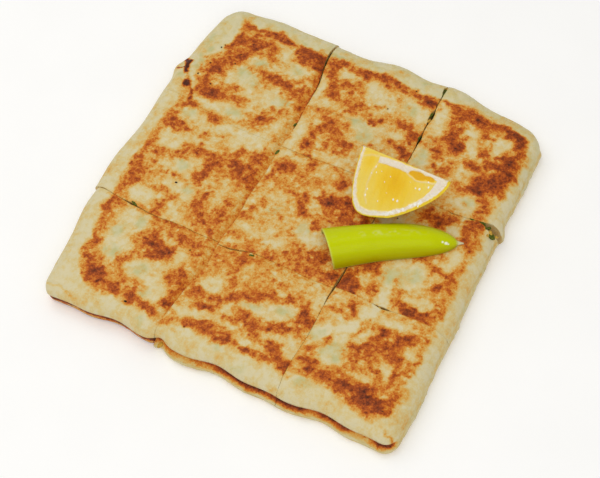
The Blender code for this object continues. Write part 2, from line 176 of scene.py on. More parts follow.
# ---- where the pan browned the crust ----
# Each spot is its middle x and y, its two half widths and its strength; a negative one is pale.
# All spots are drawn a little softer, by SPOT_SPREAD, and a little weaker, by SPOT_STRENGTH.
SPOT_SPREAD = 0.7
SPOT_STRENGTH = 0.92
BROWNING = {
    "far_left": (
        (-92, 108, 6, 3, 0.34), (-92, 98, 5, 6, 0.24), (-95, 88, 4, 8, 0.26), (-85, 82, 6, 5, 0.4),
        (-89, 76, 5, 4, 0.2), (-96, 70, 6, 5, 0.32), (-94, 64, 5, 4, 0.36), (-95, 56, 6, 4, 0.22),
        (-90, 47, 7, 4, 0.34), (-84, 51, 4, 4, 0.22), (-97, 50, 3, 6, 0.16), (-75, 107, 14, 3, 0.36),
        (-58, 106, 12, 3, 0.36), (-47, 99, 6, 6, 0.42), (-40, 101, 8, 5, 0.38), (-34, 96, 4, 10, 0.4),
        (-47, 92, 4, 3, 0.25), (-79, 97, 5, 5, 0.28), (-72, 101, 5, 4, 0.2), (-70, 96, 6, 3, 0.2),
        (-68, 90, 5, 3, 0.22), (-80, 91, 5, 3, 0.24), (-64, 94, 3, 3, 0.15), (-85, 93, 6, 4, 0.2),
        (-60, 99, 5, 4, -0.3), (-67, 101, 2.5, 2, -0.2), (-56, 91, 7, 3, -0.32), (-55, 96, 5, 2, -0.25),
        (-88, 102, 2.5, 2, -0.2), (-76, 103, 3, 1.5, -0.15), (-74, 84, 4, 4, -0.32),
        (-69, 83, 2, 2, -0.15), (-76, 70, 7, 8, -0.34), (-81, 64, 5, 4, -0.34), (-72, 65, 4, 4, -0.25),
        (-64, 65, 5, 5, -0.3), (-66, 72, 3, 2, -0.15), (-56, 82, 4, 4, -0.15), (-46, 83, 5, 4, -0.34),
        (-42, 88, 8, 2.5, -0.3), (-36, 79, 3, 3, -0.28), (-60, 87, 5, 3, 0.2), (-50, 79, 5, 2, 0.15),
        (-52, 87, 4, 2, 0.15), (-68, 76, 4, 3, 0.34), (-62, 69, 4, 3, 0.3), (-59, 75, 6, 2.2, 0.32),
        (-46, 73, 9, 2.5, 0.36), (-33, 74, 5, 7, 0.26), (-37, 66, 5, 3, 0.2), (-42, 78, 3, 2, 0.2),
        (-30, 62, 3, 3, 0.25), (-52, 64, 4, 5, -0.34), (-47, 59, 7, 3, -0.25), (-58, 57, 6, 4, -0.28),
        (-66, 57, 4, 3, -0.25), (-75, 59, 5, 2, 0.26), (-81, 57, 3, 2, 0.15), (-91, 58, 3, 2.5, -0.3),
        (-60, 50, 3, 4, -0.25), (-55, 46, 4, 3, -0.3), (-50, 52, 5, 3, -0.15), (-74, 49, 7, 4, 0.24),
        (-66, 52, 5, 3, 0.26), (-62, 61, 4, 1.5, 0.12), (-41, 53, 4, 2, 0.18), (-36, 56, 5, 3, -0.1),
        (-48, 44, 5, 5, 0.36), (-57, 44, 2, 6, 0.22), (-50, 36, 2.5, 5, 0.24), (-41, 45, 3, 3, 0.15),
        (-35, 45, 5, 4, -0.2), (-38, 39, 6, 4, -0.25), (-84, 40, 8, 4, -0.3), (-93, 40, 5, 2, -0.2),
        (-67, 41, 7, 5, -0.3), (-62, 34, 4, 4, -0.2), (-75, 42, 4, 3, -0.2),
    ),
    "far_middle": (
        (-24, 103, 7, 3, 0.3), (-10, 104, 10, 3, 0.36), (2, 103, 6, 3, 0.32), (9, 106, 4, 2.5, 0.34),
        (16, 104, 6, 2, 0.3), (24, 102, 7, 2, 0.3), (38, 100, 8, 3, 0.52), (44, 98, 4, 3, 0.4),
        (40, 95.5, 3.5, 2, 0.36), (15, 101, 10, 4, 0.16), (-26, 97, 4, 7, 0.24), (-24, 93, 3, 3, 0.26),
        (-20, 88, 3, 4, 0.22), (-17.5, 83, 3, 4, 0.34), (-15, 78, 5, 2.5, 0.36), (-12, 90, 5, 4, 0.28),
        (-6, 96, 3, 4, 0.2), (-2, 95, 3, 6, 0.26), (-4, 90, 4, 2, 0.12), (-9, 86, 6, 2.5, 0.12),
        (-13, 97, 6, 4, -0.34), (5, 96, 4, 7, -0.32), (9, 87, 7, 6, -0.3), (21, 88, 7, 7, -0.22),
        (35, 88, 5, 7, -0.22), (28, 97, 4, 3, -0.15), (43, 86, 4, 8, -0.24), (-25, 80, 2.6, 10, -0.34),
        (-22, 68, 4, 3, -0.15), (-9, 82, 3, 2, -0.2), (-8, 74, 2.5, 3, -0.2), (-13, 71, 5, 3, -0.18),
        (2, 68, 5, 3, -0.15), (9, 64, 7, 5, -0.28), (18, 58, 8, 6, -0.3), (27, 66, 6, 4, -0.22),
        (38, 67, 4, 3, -0.2), (28, 57, 3, 3, -0.2), (-14, 55.5, 2.2, 2.2, -0.34),
        (-22, 48, 2.6, 10, -0.24), (-23, 34, 3, 4, -0.28), (8, 34, 8, 4, -0.2), (-3, 36, 6, 4, -0.12),
        (18, 42, 3, 6, -0.15), (3, 80, 6, 3, 0.28), (-6, 78, 4, 4, 0.26), (-3, 73, 6, 3, 0.26),
        (4, 75, 4, 3, 0.16), (16.5, 83, 2.5, 2.5, 0.32), (13, 82, 2, 1.2, 0.15),
        (23.5, 91.5, 1.8, 1.4, 0.34), (12, 74.5, 2, 1.6, 0.26), (19.5, 71.5, 2.4, 1.6, 0.38),
        (16.5, 69, 4, 1.1, 0.5), (24, 74, 4, 1.5, 0.12), (34, 76, 7, 2, 0.36), (42, 75, 6, 2.5, 0.4),
        (41, 70, 5, 3, 0.36), (45, 67, 2.5, 5, 0.38), (37, 60.5, 4, 2.5, 0.42), (42, 58, 4, 3, 0.42),
        (45.5, 54, 3, 4, 0.5), (33, 62, 4, 1.5, 0.15), (29, 58, 2, 2, 0.2), (24, 54, 4, 3, 0.18),
        (-7, 58, 8, 6, 0.24), (-8, 56, 3.5, 3.5, 0.24), (3, 58, 6, 6, 0.16), (-15, 62, 8, 1.6, 0.14),
        (-13, 44, 2, 8, 0.28), (-14, 39.5, 2.6, 4, 0.3), (-12, 33, 6, 3, 0.16), (11, 47, 4, 2, 0.3),
        (0, 48, 12, 6, 0.12), (2, 40, 8, 5, 0.08), (-9, 29.2, 3.5, 0.9, 0.5), (2, 29, 5, 1.2, 0.14),
    ),
    "far_right": (
        (66, 101, 5, 4, 0.5), (65, 95, 4, 3, 0.46), (58, 102, 4, 2, 0.3), (53, 102.5, 4, 1.6, 0.3),
        (74, 99, 4, 4, 0.46), (80, 98, 4, 4, 0.5), (88, 99, 5, 3, 0.42), (97, 99, 5, 3, 0.5),
        (104, 96, 5, 5, 0.56), (107, 88, 3.6, 6, 0.52), (103, 77, 5, 5, 0.46), (107, 69, 6, 7, 0.6),
        (105, 59, 7, 5, 0.58), (97, 53, 6, 5, 0.56), (92, 48, 5, 3, 0.42), (99, 46, 4, 3, 0.34),
        (103, 38, 3, 8, 0.36), (92, 62, 4, 5, 0.26), (97, 68, 4, 4, 0.24), (94, 72, 5, 2.4, 0.24),
        (67, 84, 5, 5, 0.36), (66, 77, 3, 4, 0.34), (73, 75, 4, 3, 0.42), (70, 70, 3, 3, 0.42),
        (79, 68, 4, 3, 0.34), (85, 65.5, 4, 3, 0.46), (88, 75, 2.4, 3, 0.4), (90, 84, 2, 5, 0.26),
        (84, 84, 1.8, 8, 0.26), (87, 89, 4, 1.6, 0.3), (74, 59, 3, 4, 0.36), (71, 53, 5, 3, 0.3),
        (60, 67, 3, 2, 0.36), (62, 63, 2, 4, 0.34), (57, 70, 4, 1.4, 0.24), (60, 75, 3, 2, 0.34),
        (57, 66, 2, 1.4, 0.2), (64.5, 56, 1.6, 1.6, 0.34), (83, 56, 1.2, 1.2, 0.3),
        (69, 63, 3, 3, 0.14), (62, 88, 3, 6, 0.14), (75, 82, 3, 1.6, 0.26), (83, 93, 6, 2, 0.24),
        (98, 94, 5, 2, 0.2), (76, 87, 4.5, 4, -0.42), (79, 80, 4, 4, -0.4), (82, 74, 3, 4, -0.38),
        (96, 86, 4, 5, -0.42), (100, 87, 2, 2.5, -0.3), (95, 79, 2.4, 3, -0.3), (89, 70, 2, 3, -0.34),
        (88, 85, 1.6, 2, -0.2), (98, 66, 1.6, 3, -0.2), (76, 66, 2.2, 3, -0.32), (72, 63, 2, 2, -0.15),
        (82, 57, 4, 4.4, -0.4), (54, 88, 3.6, 7, -0.34), (54, 96, 3, 3, -0.3), (56, 78, 4, 3, -0.26),
        (55, 60, 4, 6, -0.34), (59, 55, 4, 4, -0.26), (66, 60, 2.6, 3, -0.2), (66, 70, 2, 3, -0.16),
        (94, 42, 5, 4, -0.34), (87, 37, 6, 4, -0.32), (96, 34, 4, 3, -0.3),
    ),
    "middle_left": (
        (-95, 35, 5, 3, 0.34), (-103, 32, 3, 5, 0.15), (-78, 32, 6, 3, 0.24), (-104, 22, 3, 8, 0.18),
        (-99, 22, 4, 4, 0.26), (-94, 17, 6, 5, 0.42), (-87, 16, 5, 3, 0.2), (-103, 5, 3, 12, 0.17),
        (-103, -10, 3, 10, 0.2), (-101, -27, 4, 8, 0.18), (-100, -38, 4, 6, 0.18),
        (-92, 27, 7, 4, -0.3), (-96, 9, 5, 5, -0.3), (-88, 8, 4, 3, -0.15), (-89, 3, 6, 4, -0.3),
        (-96, 0, 3, 3, -0.2), (-82, 22, 4, 5, -0.15), (-72, 25, 10, 4, -0.24), (-68, 13, 5, 5, -0.28),
        (-79, 12, 5, 5, -0.24), (-57, 27, 9, 5, -0.28), (-45, 28, 8, 5, -0.28), (-55, 17, 6, 5, -0.26),
        (-45, 22, 6, 3, -0.24), (-33, 28, 5, 6, -0.12), (-38, 22, 3, 3, -0.15), (-74, 29, 5, 2, 0.3),
        (-63, 21, 2.5, 2, 0.24), (-60, 24, 4, 1.5, 0.12), (-75, 17, 3, 2.5, 0.28),
        (-72, 10, 1.5, 2, 0.4), (-63, 16, 2.5, 2, 0.12), (-59, 12, 5, 1.5, 0.16),
        (-47, 15, 4, 2.5, 0.26), (-42, 18, 3, 2, 0.15), (-67, 5, 6, 3, 0.42), (-60, 0, 5, 3, 0.36),
        (-78, 5, 5, 2.5, 0.2), (-83, 3, 2, 4, 0.24), (-73, 1, 4, 2, 0.12), (-70, -4, 5, 3, -0.28),
        (-65, -9, 3, 2, -0.2), (-75, -10, 6, 4, -0.34), (-69, -14, 4, 3, -0.24), (-46, 6, 6, 4, 0.46),
        (-35, 15, 5, 8, 0.3), (-38, 4, 8, 5, 0.26), (-33, -4, 6, 7, 0.34), (-52, -2, 8, 6, 0.16),
        (-56, 9, 5, 3, 0.14), (-43, -12, 3, 5, -0.18), (-34, -14, 3, 3, -0.1), (-51, -17, 4, 3, 0.12),
        (-62, -12, 4, 5, 0.42), (-60, -5, 1.8, 6, 0.26), (-96, -6, 6, 3, 0.3), (-83, -4, 8, 3, 0.24),
        (-78, 0, 3, 2, 0.15), (-88, -10, 5, 3, -0.24), (-93, -14, 3, 2.5, 0.3), (-90, -18, 3, 2, 0.15),
        (-102, -19, 4, 3, 0.26), (-94.5, -22, 3, 1.6, 0.36), (-85, -21, 3, 1.2, 0.24),
        (-83, -14, 4, 2, -0.2), (-75, -17, 3, 1.6, 0.28), (-80, -15, 2, 1.5, 0.15),
        (-97, -30, 4, 3, 0.26), (-88, -27, 6, 3, -0.15), (-78, -29, 4, 1.5, 0.36),
        (-86, -32, 4, 1.5, 0.12), (-70, -25, 6, 4, -0.3), (-78, -23, 4, 3, -0.2),
        (-60, -28, 4, 6, -0.28), (-85, -37, 8, 5, -0.32), (-92, -40, 4, 3, -0.2),
        (-66, -38, 4, 4, -0.15), (-62, -42, 5, 3, -0.24), (-52, -26, 5, 5, 0.26),
        (-50, -34, 6, 5, 0.28), (-44, -40, 3, 2.5, 0.5), (-37, -21, 5, 4, 0.24),
        (-44, -23, 3, 5, -0.16), (-33, -31, 5, 8, 0.18), (-38, -34, 5, 5, 0.14), (-35, -44, 7, 3, 0.3),
        (-72, -36, 3, 5, 0.2), (-74, -40, 4, 3, 0.2), (-68, -30, 3, 2, 0.16), (-66, -33, 2, 3, 0.14),
        (-70, -45, 4, 2, 0.26), (-54, -41, 6, 3, 0.14),
    ),
    "centre": (
        (-17, 17, 5, 4, 0.34), (-20, 19, 3, 3, 0.14), (-2.5, 25.5, 3, 2.5, 0.42), (-5, 29, 4, 1, 0.2),
        (21, 18, 2.2, 4, 0.4), (17, 20, 4, 3, 0.12), (-22, 7, 2.5, 2.5, 0.28), (-10, 18, 14, 5, 0.1),
        (10, 17, 9, 5, 0.06), (30, 10, 5, 3, 0.4), (25, 7, 8, 3, 0.26), (17, 5, 6, 3, 0.34),
        (20, 1.5, 5, 3, 0.36), (31, 4, 4, 5, 0.34), (6, 2.5, 2, 2, 0.4), (0, 2, 4, 2, 0.2),
        (-7, 3, 3, 2, 0.18), (4, -5, 5, 3, 0.3), (5, -1, 3, 2, 0.2), (9, -10, 2, 2, 0.4),
        (14, 5, 3, 3, 0.2), (30, -2, 6, 4, 0.16), (43, 1, 5, 3, 0.52), (37, -2, 4, 2, 0.24),
        (19, -14, 2, 3, 0.42), (15, -9, 4, 3, 0.12), (44, 6, 4, 2, 0.3), (-11, 24.5, 5, 2.2, -0.34),
        (-22, 26.5, 4, 2.4, -0.32), (-26, 12, 1.6, 4, -0.34), (13, 13, 3, 2, -0.2),
        (-19, 10, 3, 1.5, 0.1), (28, 19, 2.5, 3, -0.28), (14, -18, 5, 5, -0.34), (24, -22, 4, 5, -0.34),
        (17, -24, 6, 3, -0.22), (13, -1.5, 1.4, 2.5, -0.3), (39, 2, 1.6, 3, -0.24),
        (-13, -34, 5, 3, -0.3), (-18, -31, 4, 2, -0.2), (5, -34, 5, 3, -0.2), (-4, -28, 6, 4, -0.16),
        (-12, -6, 6, 4, -0.14), (-9, -15, 5, 3, -0.12), (-22, -18, 2.4, 1.6, 0.3),
        (-23, -25, 2.6, 1.8, 0.34), (-17, -17, 3, 2.4, 0.14), (-22, -38, 3, 2.4, 0.26),
        (4, -43, 5, 3, 0.3), (-3, -39, 4, 2, 0.1), (25, -33, 6, 4, 0.34), (33, -31, 4, 4, 0.34),
        (21, -42, 6, 4, 0.28), (29, -40, 4, 4, 0.22), (37, -42, 5, 3, 0.34), (45, -40, 5, 5, 0.46),
        (13, -37, 4, 3, 0.12), (32, -45, 6, 1.5, 0.16), (-10, -45, 6, 1.5, 0.12),
    ),
    "middle_right": (
        (90, 24, 6, 2.6, 0.46), (85, 21, 3, 2.4, 0.36), (78, 20, 5, 3.6, 0.38), (76, 27, 4, 3, 0.24),
        (103, 24, 4, 5, 0.36), (107, 28, 3, 3, 0.34), (102, 15, 3, 4, 0.26), (84, 17, 4, 2, 0.2),
        (108, 12, 3, 8, 0.2), (98, 25, 2, 2, 0.15), (88, -6, 4, 3, 0.3), (84, -8, 3, 2, 0.2),
        (95, -13, 1.6, 3.4, 0.42), (98.5, -10.5, 3, 1.2, 0.44), (102.5, -12.5, 2.4, 1.4, 0.4),
        (102, -22, 2.4, 3, 0.4), (98, -24, 3, 3, 0.2), (108, -22, 3, 10, 0.18), (108, -5, 2.6, 8, 0.14),
        (94, -2, 3, 2, 0.1), (88, -31, 5, 1.6, 0.34), (84, -37, 3, 4, 0.4), (90, -41, 6, 2.4, 0.36),
        (95, -44, 5, 3, 0.54), (106, -42, 5, 3, 0.38), (101, -42, 3, 2, 0.26), (110, -36, 2, 3, 0.2),
        (62, -24, 4, 3, 0.44), (58, -28, 4, 3, 0.3), (66, -27, 2.4, 5, 0.26), (52, -37, 3, 4, 0.54),
        (57, -41, 4, 4, 0.54), (60, -46, 3, 3, 0.44), (50, -44, 3, 4, 0.5), (64, -50, 3, 2.4, 0.4),
        # The pale spot at x 60, y 10 is partly painted light, lifting the crust in the shadow between
        # the lemon and the chilli.
        (68, -37, 1.6, 3, 0.3), (71, -44, 1.4, 5, 0.18), (64, -40, 3, 4, 0.1), (60, 10, 8, 6, -0.45),
        (95, 18, 4, 3.4, -0.36), (104, 2, 3.4, 4, -0.36), (102, -5, 3, 3, -0.34), (97, -7, 2, 2, -0.24),
        (101, -16, 2.6, 3, -0.16), (99, -33, 4, 4, -0.38), (91, -36, 3, 2.4, -0.2),
        (86, -16, 6, 5, -0.38), (79, -20, 5, 7, -0.38), (90, -24, 4, 5, -0.36), (84, -27, 4, 2.6, -0.2),
        (75, -33, 2.6, 8, -0.42), (79, -43, 2.4, 5, -0.36), (66, -44, 3, 3, -0.2),
        (61, -34, 3, 3, -0.15), (80, -26.4, 1.6, 1.4, 0.4),
    ),
    "near_left": (
        (-101, -54, 3, 8, 0.3), (-97, -48, 7, 2, 0.24), (-98, -66, 4, 6, 0.26), (-103, -45, 3, 6, 0.12),
        (-94, -78, 3, 2, 0.42), (-97, -86, 3, 8, 0.15), (-90, -84, 3, 4, 0.18), (-88, -92, 6, 6, 0.4),
        (-81, -97, 6, 4, 0.46), (-86, -102, 8, 3, 0.3), (-72, -102, 8, 4, 0.28), (-76, -106, 6, 2, 0.2),
        (-86, -54, 7, 5, -0.34), (-77, -55, 3, 6, -0.3), (-82, -48, 5, 2, 0.1), (-90, -62, 4, 3, -0.1),
        (-84, -66, 6, 5, -0.28), (-78, -62, 5, 2, -0.2), (-87, -76, 5, 6, -0.3),
        (-79, -76, 7, 5, -0.34), (-84, -84, 5, 4, -0.3), (-60, -83, 8, 5, -0.34),
        (-66, -88, 3, 4, -0.2), (-52, -88, 7, 6, -0.34), (-43, -67, 4, 6, -0.26),
        (-48, -76, 4, 3, -0.24), (-42, -94, 4, 6, -0.32), (-48, -98, 4, 3, -0.3),
        (-52, -60, 3, 2, -0.2), (-62, -64, 5, 4, 0.46), (-55, -69, 6, 5, 0.48), (-66, -67, 3, 3, 0.2),
        (-49, -66, 2, 5, 0.3), (-60, -74, 6, 3, 0.28), (-74, -65, 4, 3, 0.3), (-70, -68, 3, 2, 0.15),
        (-68, -60, 4, 3, 0.2), (-47, -54, 7, 3, 0.36), (-43, -58, 5, 3, 0.24), (-58, -56, 5, 3, 0.2),
        (-71, -49, 6, 3, 0.3), (-55, -48, 12, 1.5, 0.2), (-36, -58, 6, 10, 0.14),
        (-38, -76, 4, 3, 0.34), (-42, -81, 6, 2, 0.24), (-33, -84, 6, 5, 0.3), (-34, -94, 5, 4, 0.3),
        (-35, -98, 3, 3, 0.4), (-41, -85, 4, 2, 0.12), (-72, -84, 3, 6, 0.36), (-76, -81, 4, 3, 0.2),
        (-68, -79, 3, 2, 0.2), (-58, -94, 3, 2, 0.3), (-54, -97, 4, 2, 0.2), (-65, -93, 4, 2, 0.12),
        (-56, -103, 4, 3.5, 0.5), (-48, -104, 5, 2, 0.26), (-40, -106, 6, 2.5, 0.32),
        (-66, -99, 4, 3, 0.2),
    ),
    "near_middle": (
        (-8, -53, 3, 4, 0.36), (-8, -64, 3, 4, 0.34), (-8, -58, 2, 3, 0.2), (-17, -55, 6, 6, 0.12),
        (-24, -60, 4, 8, 0.14), (-21, -68, 4, 2, 0.2), (13, -68, 6, 2.2, 0.32), (22, -67, 6, 2, 0.2),
        (29.5, -64.5, 3, 2.5, 0.4), (35, -63, 4, 2, 0.15), (22, -58, 3, 2, 0.34), (15, -60, 6, 2, 0.12),
        (41, -67.5, 3, 2.4, 0.5), (43, -72, 4, 3, 0.34), (48, -73, 3, 3, 0.46), (42, -76, 5, 1.6, 0.24),
        (7, -73.5, 8, 2, 0.3), (-1, -77.5, 4, 2.4, 0.42), (-8, -83, 4, 2.4, 0.44),
        (-20, -84, 8, 3, 0.3), (-24, -80, 3, 3, 0.2), (-12, -90, 5, 3, 0.3), (-18, -92, 4, 2, 0.15),
        (8, -83, 6, 2, 0.26), (14, -86.5, 5, 2.4, 0.38), (18, -91, 4, 2.4, 0.42), (22, -95, 4, 2, 0.3),
        (25, -87, 4, 2, 0.26), (34, -82.5, 5, 2.2, 0.38), (28, -84, 4, 1.6, 0.15),
        (41, -80.5, 5, 1.2, 0.22), (34, -95, 4, 3, 0.38), (39, -98, 4, 2.4, 0.3),
        (4, -89.5, 10, 1.3, 0.24), (8, -98, 6, 2, 0.26), (-4, -98, 5, 2.4, 0.4),
        (-13, -101, 6, 2, 0.26), (-17, -104, 5, 2, 0.28), (3, -103, 12, 2.6, 0.4),
        (20, -103.5, 10, 2, 0.36), (36, -103, 6, 2.4, 0.36), (44, -101, 4, 4, 0.3),
        (49, -106, 3, 3, 0.46), (-29, -105, 4, 2, 0.15), (23.5, -63, 2.4, 2.2, -0.3),
        (30, -72.5, 7, 4, -0.34), (20, -77, 6, 3, -0.34), (10, -79, 6, 2.2, -0.32),
        (-14, -77, 4, 5, -0.3), (-19, -73, 3, 3, -0.24), (-2, -84.5, 3, 4, -0.32),
        (25, -79, 8, 2, -0.2), (-20, -96, 6, 4, -0.32), (-8, -95, 5, 3, -0.28),
        (4, -94.5, 6, 2.4, -0.34), (44, -93.5, 4, 6, -0.36), (34, -89, 6, 2.6, -0.24),
        (26, -91, 2, 2, -0.15), (26, -100, 6, 2, -0.32), (17, -99.5, 4, 1.5, -0.24),
        (-26, -98, 3, 3, -0.2), (46, -55, 3, 5, -0.24), (34, -52, 8, 4, -0.12), (16, -52, 6, 4, -0.08),
        (40, -58, 6, 3, -0.1), (-12, -71, 2, 4, -0.2), (47, -63, 3, 4, -0.15),
    ),
    "near_right": (
        (64, -52, 2.6, 3.6, 0.4), (67, -57, 2, 3, 0.24), (60, -60, 8, 1.2, 0.2),
        (57, -57, 4, 1.5, 0.15), (62, -66, 8, 1.6, 0.2), (74, -57, 1.6, 6, 0.18), (84, -60, 5, 3, 0.34),
        (86, -65, 4, 4, 0.36), (89, -59, 3, 2, 0.36), (98, -62, 5, 4, 0.48), (95, -68, 3, 3, 0.34),
        (105, -55, 5, 3, 0.34), (100, -58, 4, 2, 0.3), (89, -71, 6, 3, 0.34), (82, -74, 5, 2.4, 0.36),
        (76, -76, 4, 2, 0.26), (79, -80, 4, 3, 0.34), (97, -73, 3, 3, 0.3), (101, -72, 2, 3, 0.2),
        (102, -78, 2, 3, 0.24), (104, -82, 1.8, 5, 0.44), (94, -84, 3, 2, 0.24), (87, -80, 4, 2.4, 0.2),
        (78, -84, 3, 3, 0.3), (108, -76, 2.6, 14, 0.14), (61, -78, 2.4, 3.4, 0.34),
        (58, -83, 3, 2.4, 0.2), (54, -88, 3, 2.6, 0.36), (53, -94, 3, 3, 0.26), (58, -97, 4, 3, 0.34),
        (64, -98, 5, 3, 0.34), (72, -98, 5, 3, 0.34), (78, -99, 5, 3, 0.34), (86, -97, 5, 3, 0.34),
        (93, -98, 5, 3, 0.5), (96, -103, 6, 4, 0.5), (104, -101, 4, 3, 0.4), (107, -104.5, 3, 2, 0.44),
        (99, -108, 6, 2.4, 0.3), (85, -101, 5, 2.4, 0.24), (90, -105, 4, 3, 0.26),
        (110, -97, 3, 5, 0.26), (82, -88, 5, 2, 0.16), (74, -93, 6, 2, 0.14), (98, -92, 8, 3, 0.14),
        (103, -90, 4, 3, 0.1), (56, -52, 4, 3, -0.2), (58, -64, 6, 2.4, -0.34), (66, -60, 1.5, 2, -0.2),
        (71, -53, 2, 3, -0.2), (69, -64, 2.4, 4, -0.3), (94, -53, 8, 2.6, -0.36),
        (86, -55, 3, 1.6, -0.2), (82, -53, 2, 2, -0.2), (92, -62, 1.6, 2, -0.3),
        (79, -64, 2.4, 3, -0.3), (77, -69, 2, 3, -0.24), (106, -68, 2.4, 4, -0.36),
        (95, -75, 1.4, 3, -0.2), (83, -82, 3, 1.6, -0.34), (97, -81, 1.5, 3, -0.3),
        (101, -83, 1.6, 4, -0.34), (64, -83, 6, 6, -0.38), (68, -88, 4, 3, -0.3),
        (67, -74, 5, 2.6, -0.32), (56, -77, 3, 3, -0.3), (52, -83, 2, 3, -0.24),
        (90, -91, 3, 1.6, -0.24), (82, -91, 2, 1.4, -0.2), (58, -91, 3, 1.6, -0.15),
        (74, -86, 2, 5, -0.12),
    ),
}
# Where the pale dough turns green-grey, mostly where herbs show through and on some pale patches of the
# far left piece: the middle x and y and the two half widths.
GREEN_SPOTS = (
    (-110, 88, 4, 8), (-106, 80, 3, 5), (-109, 73, 3, 3), (-113, 53, 5, 3.5), (-76, 70, 6, 7),
    (-52, 110, 4, 2), (8, 65, 8, 5), (17, 58, 8, 6), (35, 112, 8, 3), (55, 58, 5, 8), (86, -20, 8, 6),
    (75, -25, 8, 8), (-77, -55, 4, 5), (-61, -85, 7, 5), (-43, -114, 4, 4), (30, -73, 10, 4),
    (66, -84, 8, 7), (55, -76.8, 4, 4), (5, -108, 5, 3), (22, -115, 6, 3), (60, -108, 6, 4),
    (-9, -14.8, 5, 3), (14, -18.8, 5, 5), (95, 41.2, 5, 4), (-67, 40.2, 9, 4), (56, 70, 4, 6),
    (-27, 108.2, 8, 4), (11, -78, 8, 3), (-47, 87, 6, 4), (-69, 83, 5, 4), (-66, 66, 6, 5),
    (-43, 60, 6, 4), (-86, -66, 5, 6), (-82, -80, 6, 6), (-93, 29, 6, 4), (-75, -9, 5, 4),
    (-64, -22, 4, 4), (52, -78, 4, 5), (34, 88, 6, 6), (-106, 66, 6, 5), (-112, 60, 4, 5),
    (-50, -97, 4, 3),
)
# How brown the crust of each piece is between its spots.
BASE_TOAST = {
    "far_left": 0.39,
    "far_middle": 0.36,
    "far_right": 0.38,
    "middle_left": 0.36,
    "centre": 0.38,
    "middle_right": 0.38,
    "near_left": 0.36,
    "near_middle": 0.38,
    "near_right": 0.38,
}
# Browned spots on the pale border, in the form of those above.
RIM_SPOTS = (
    (106, -106, 12, 8, 0.12), (72, -112, 16, 5, 0.08), (-22, -110.5, 4, 1.2, 0.3),
    (17, -107.5, 2.2, 0.8, 0.28), (110, -66, 2, 3, 0.16), (-107, -45, 3, 1.2, 0.25),
    (-103, 44, 4, 2.5, 0.3), (-90, -107, 5, 1.5, 0.1), (58, -101, 3, 1.5, 0.15),
    (-105, 72.5, 3, 2, 0.5),
)
# Where the browned face ends and the pale border starts: along x for the far and the near side,
# along y for the left and the right side.
FAR_LIMIT = (
    (-98, 112.5), (-85, 109.5), (-70, 111.5), (-55, 108.5), (-45, 106.5), (-20, 107), (0, 107.5),
    (11, 109.5), (18, 107), (28, 104.5), (36, 103.5), (45, 104), (55, 105), (66, 106.5), (75, 103.5),
    (90, 103), (100, 102), (108, 97.5),
)
NEAR_LIMIT = (
    (-97, -100.5), (-90, -104.5), (-80, -107.5), (-70, -109), (-60, -107.5), (-50, -108), (-35, -109.5),
    (-31, -110.5), (-22, -105.5), (-10, -107), (12, -106.5), (40, -106.5), (48, -109.5), (52, -108.5),
    (58, -104.5), (68, -104.5), (80, -106.5), (88, -108.5), (95, -112), (104, -111.5), (112, -106.5),
)
LEFT_LIMIT = (
    (-104, -89), (-97, -97), (-90, -99.5), (-78, -100), (-68, -103), (-60, -105), (-45, -105.5),
    (-35, -106.5), (-20, -108.5), (0, -108.5), (20, -107), (30, -105), (40, -103), (50, -101),
    (60, -105), (70, -104.5), (80, -99.5), (92, -98), (112, -97),
)
RIGHT_LIMIT = (
    (-112, 108), (-105, 114), (-90, 115), (-60, 114), (-40, 113.5), (0, 113), (20, 112.5), (32, 110.5),
    (48, 110.5), (60, 112.5), (72, 114), (84, 113), (92, 111.5), (98, 108.5), (104, 104),
)

# Creases and folds: the points of a line, its half width, its height and what it adds in browning. In
# the small folds on the near rim that browning is partly painted shade; on the burnt fold at the left it
# is char.
CREASES = (
    (((-116.5, 67), (-113.5, 64.5), (-111.5, 60), (-110.5, 57)), 1.5, -1.2, 1.5),
    (((-118.8, 59.4), (-115.4, 59.4), (-112.5, 61)), 1.1, -0.9, 1.2),
    (((-110.5, 57), (-106.5, 51.5), (-102.5, 46.5), (-97.5, 39)), 1.1, 0.5, 0.4),
    (((-106.6, 48.2), (-105.6, 47)), 1.9, -0.6, 1.3),
    (((-103, 115), (-98, 90)), 2.2, 0.7, -0.3),
    (((-25, 66.7), (3, 66.5)), 0.8, -0.7, 0.1),
    (((78, -46.8), (73, -56.8), (69, -64.8), (60, -70.8), (51, -75.8)), 3.0, 0.3, -0.45),
    # The small folds on the near rim: their browning is partly painted shade in the fold.
    (((-107, -113.8), (-97, -112.8), (-87, -116.8)), 0.9, -0.9, 0.25),
    (((113, -113.8), (117, -113.8), (123, -117.8)), 1.0, -1.1, 0.4),
    (((-24, -118), (-17, -120.5), (-12, -122)), 0.9, -0.7, 0.1),
)

# Painted shade on the left column along the cut to its right, by y, laid in as browning: it slopes into
# the cut there.
CUT_SHADE = (
    (-122, 0.2), (-108, 0.35), (-95, 0.62), (-80, 0.62), (-62, 0.5), (-48, 0.55), (-30, 0.55),
    (-5, 0.6), (20, 0.42), (32, 0.34), (46, 0.5), (58, 0.62), (75, 0.74), (92, 0.9), (102, 0.8),
    (107, 0.4), (112, 0.12),
)

# Burnt crumbs on the crust: x, y, length, width and turn in degrees.
CRUMB_SEED = 200
CRUMBS = (
    (-72.5, -21.5, 1.7, 1.1, 20), (-85, 83.2, 2.0, 0.8, 35), (-85, 75.2, 1.5, 0.7, -20),
    (-98.5, 86.2, 1.3, 0.9, 0), (-100, 83.7, 1.2, 0.8, 50), (-91.5, 54.2, 1.3, 0.8, 10),
    (-103, 58.2, 1.2, 0.9, 70), (-100, 69.2, 1.4, 0.9, 0), (-50, 99.2, 1.1, 0.8, 30),
    (31, 103, 1.0, 0.8, 0), (107, -104.1, 1.6, 0.9, 15), (-56.5, -106.3, 2.2, 1.1, 10),
    (-17, -106.1, 1.0, 0.7, 0), (20.5, 83, 1.0, 0.7, 40), (61, 12, 1.0, 0.7, 0),
    (-40, -60, 1.0, 0.7, 80),
)

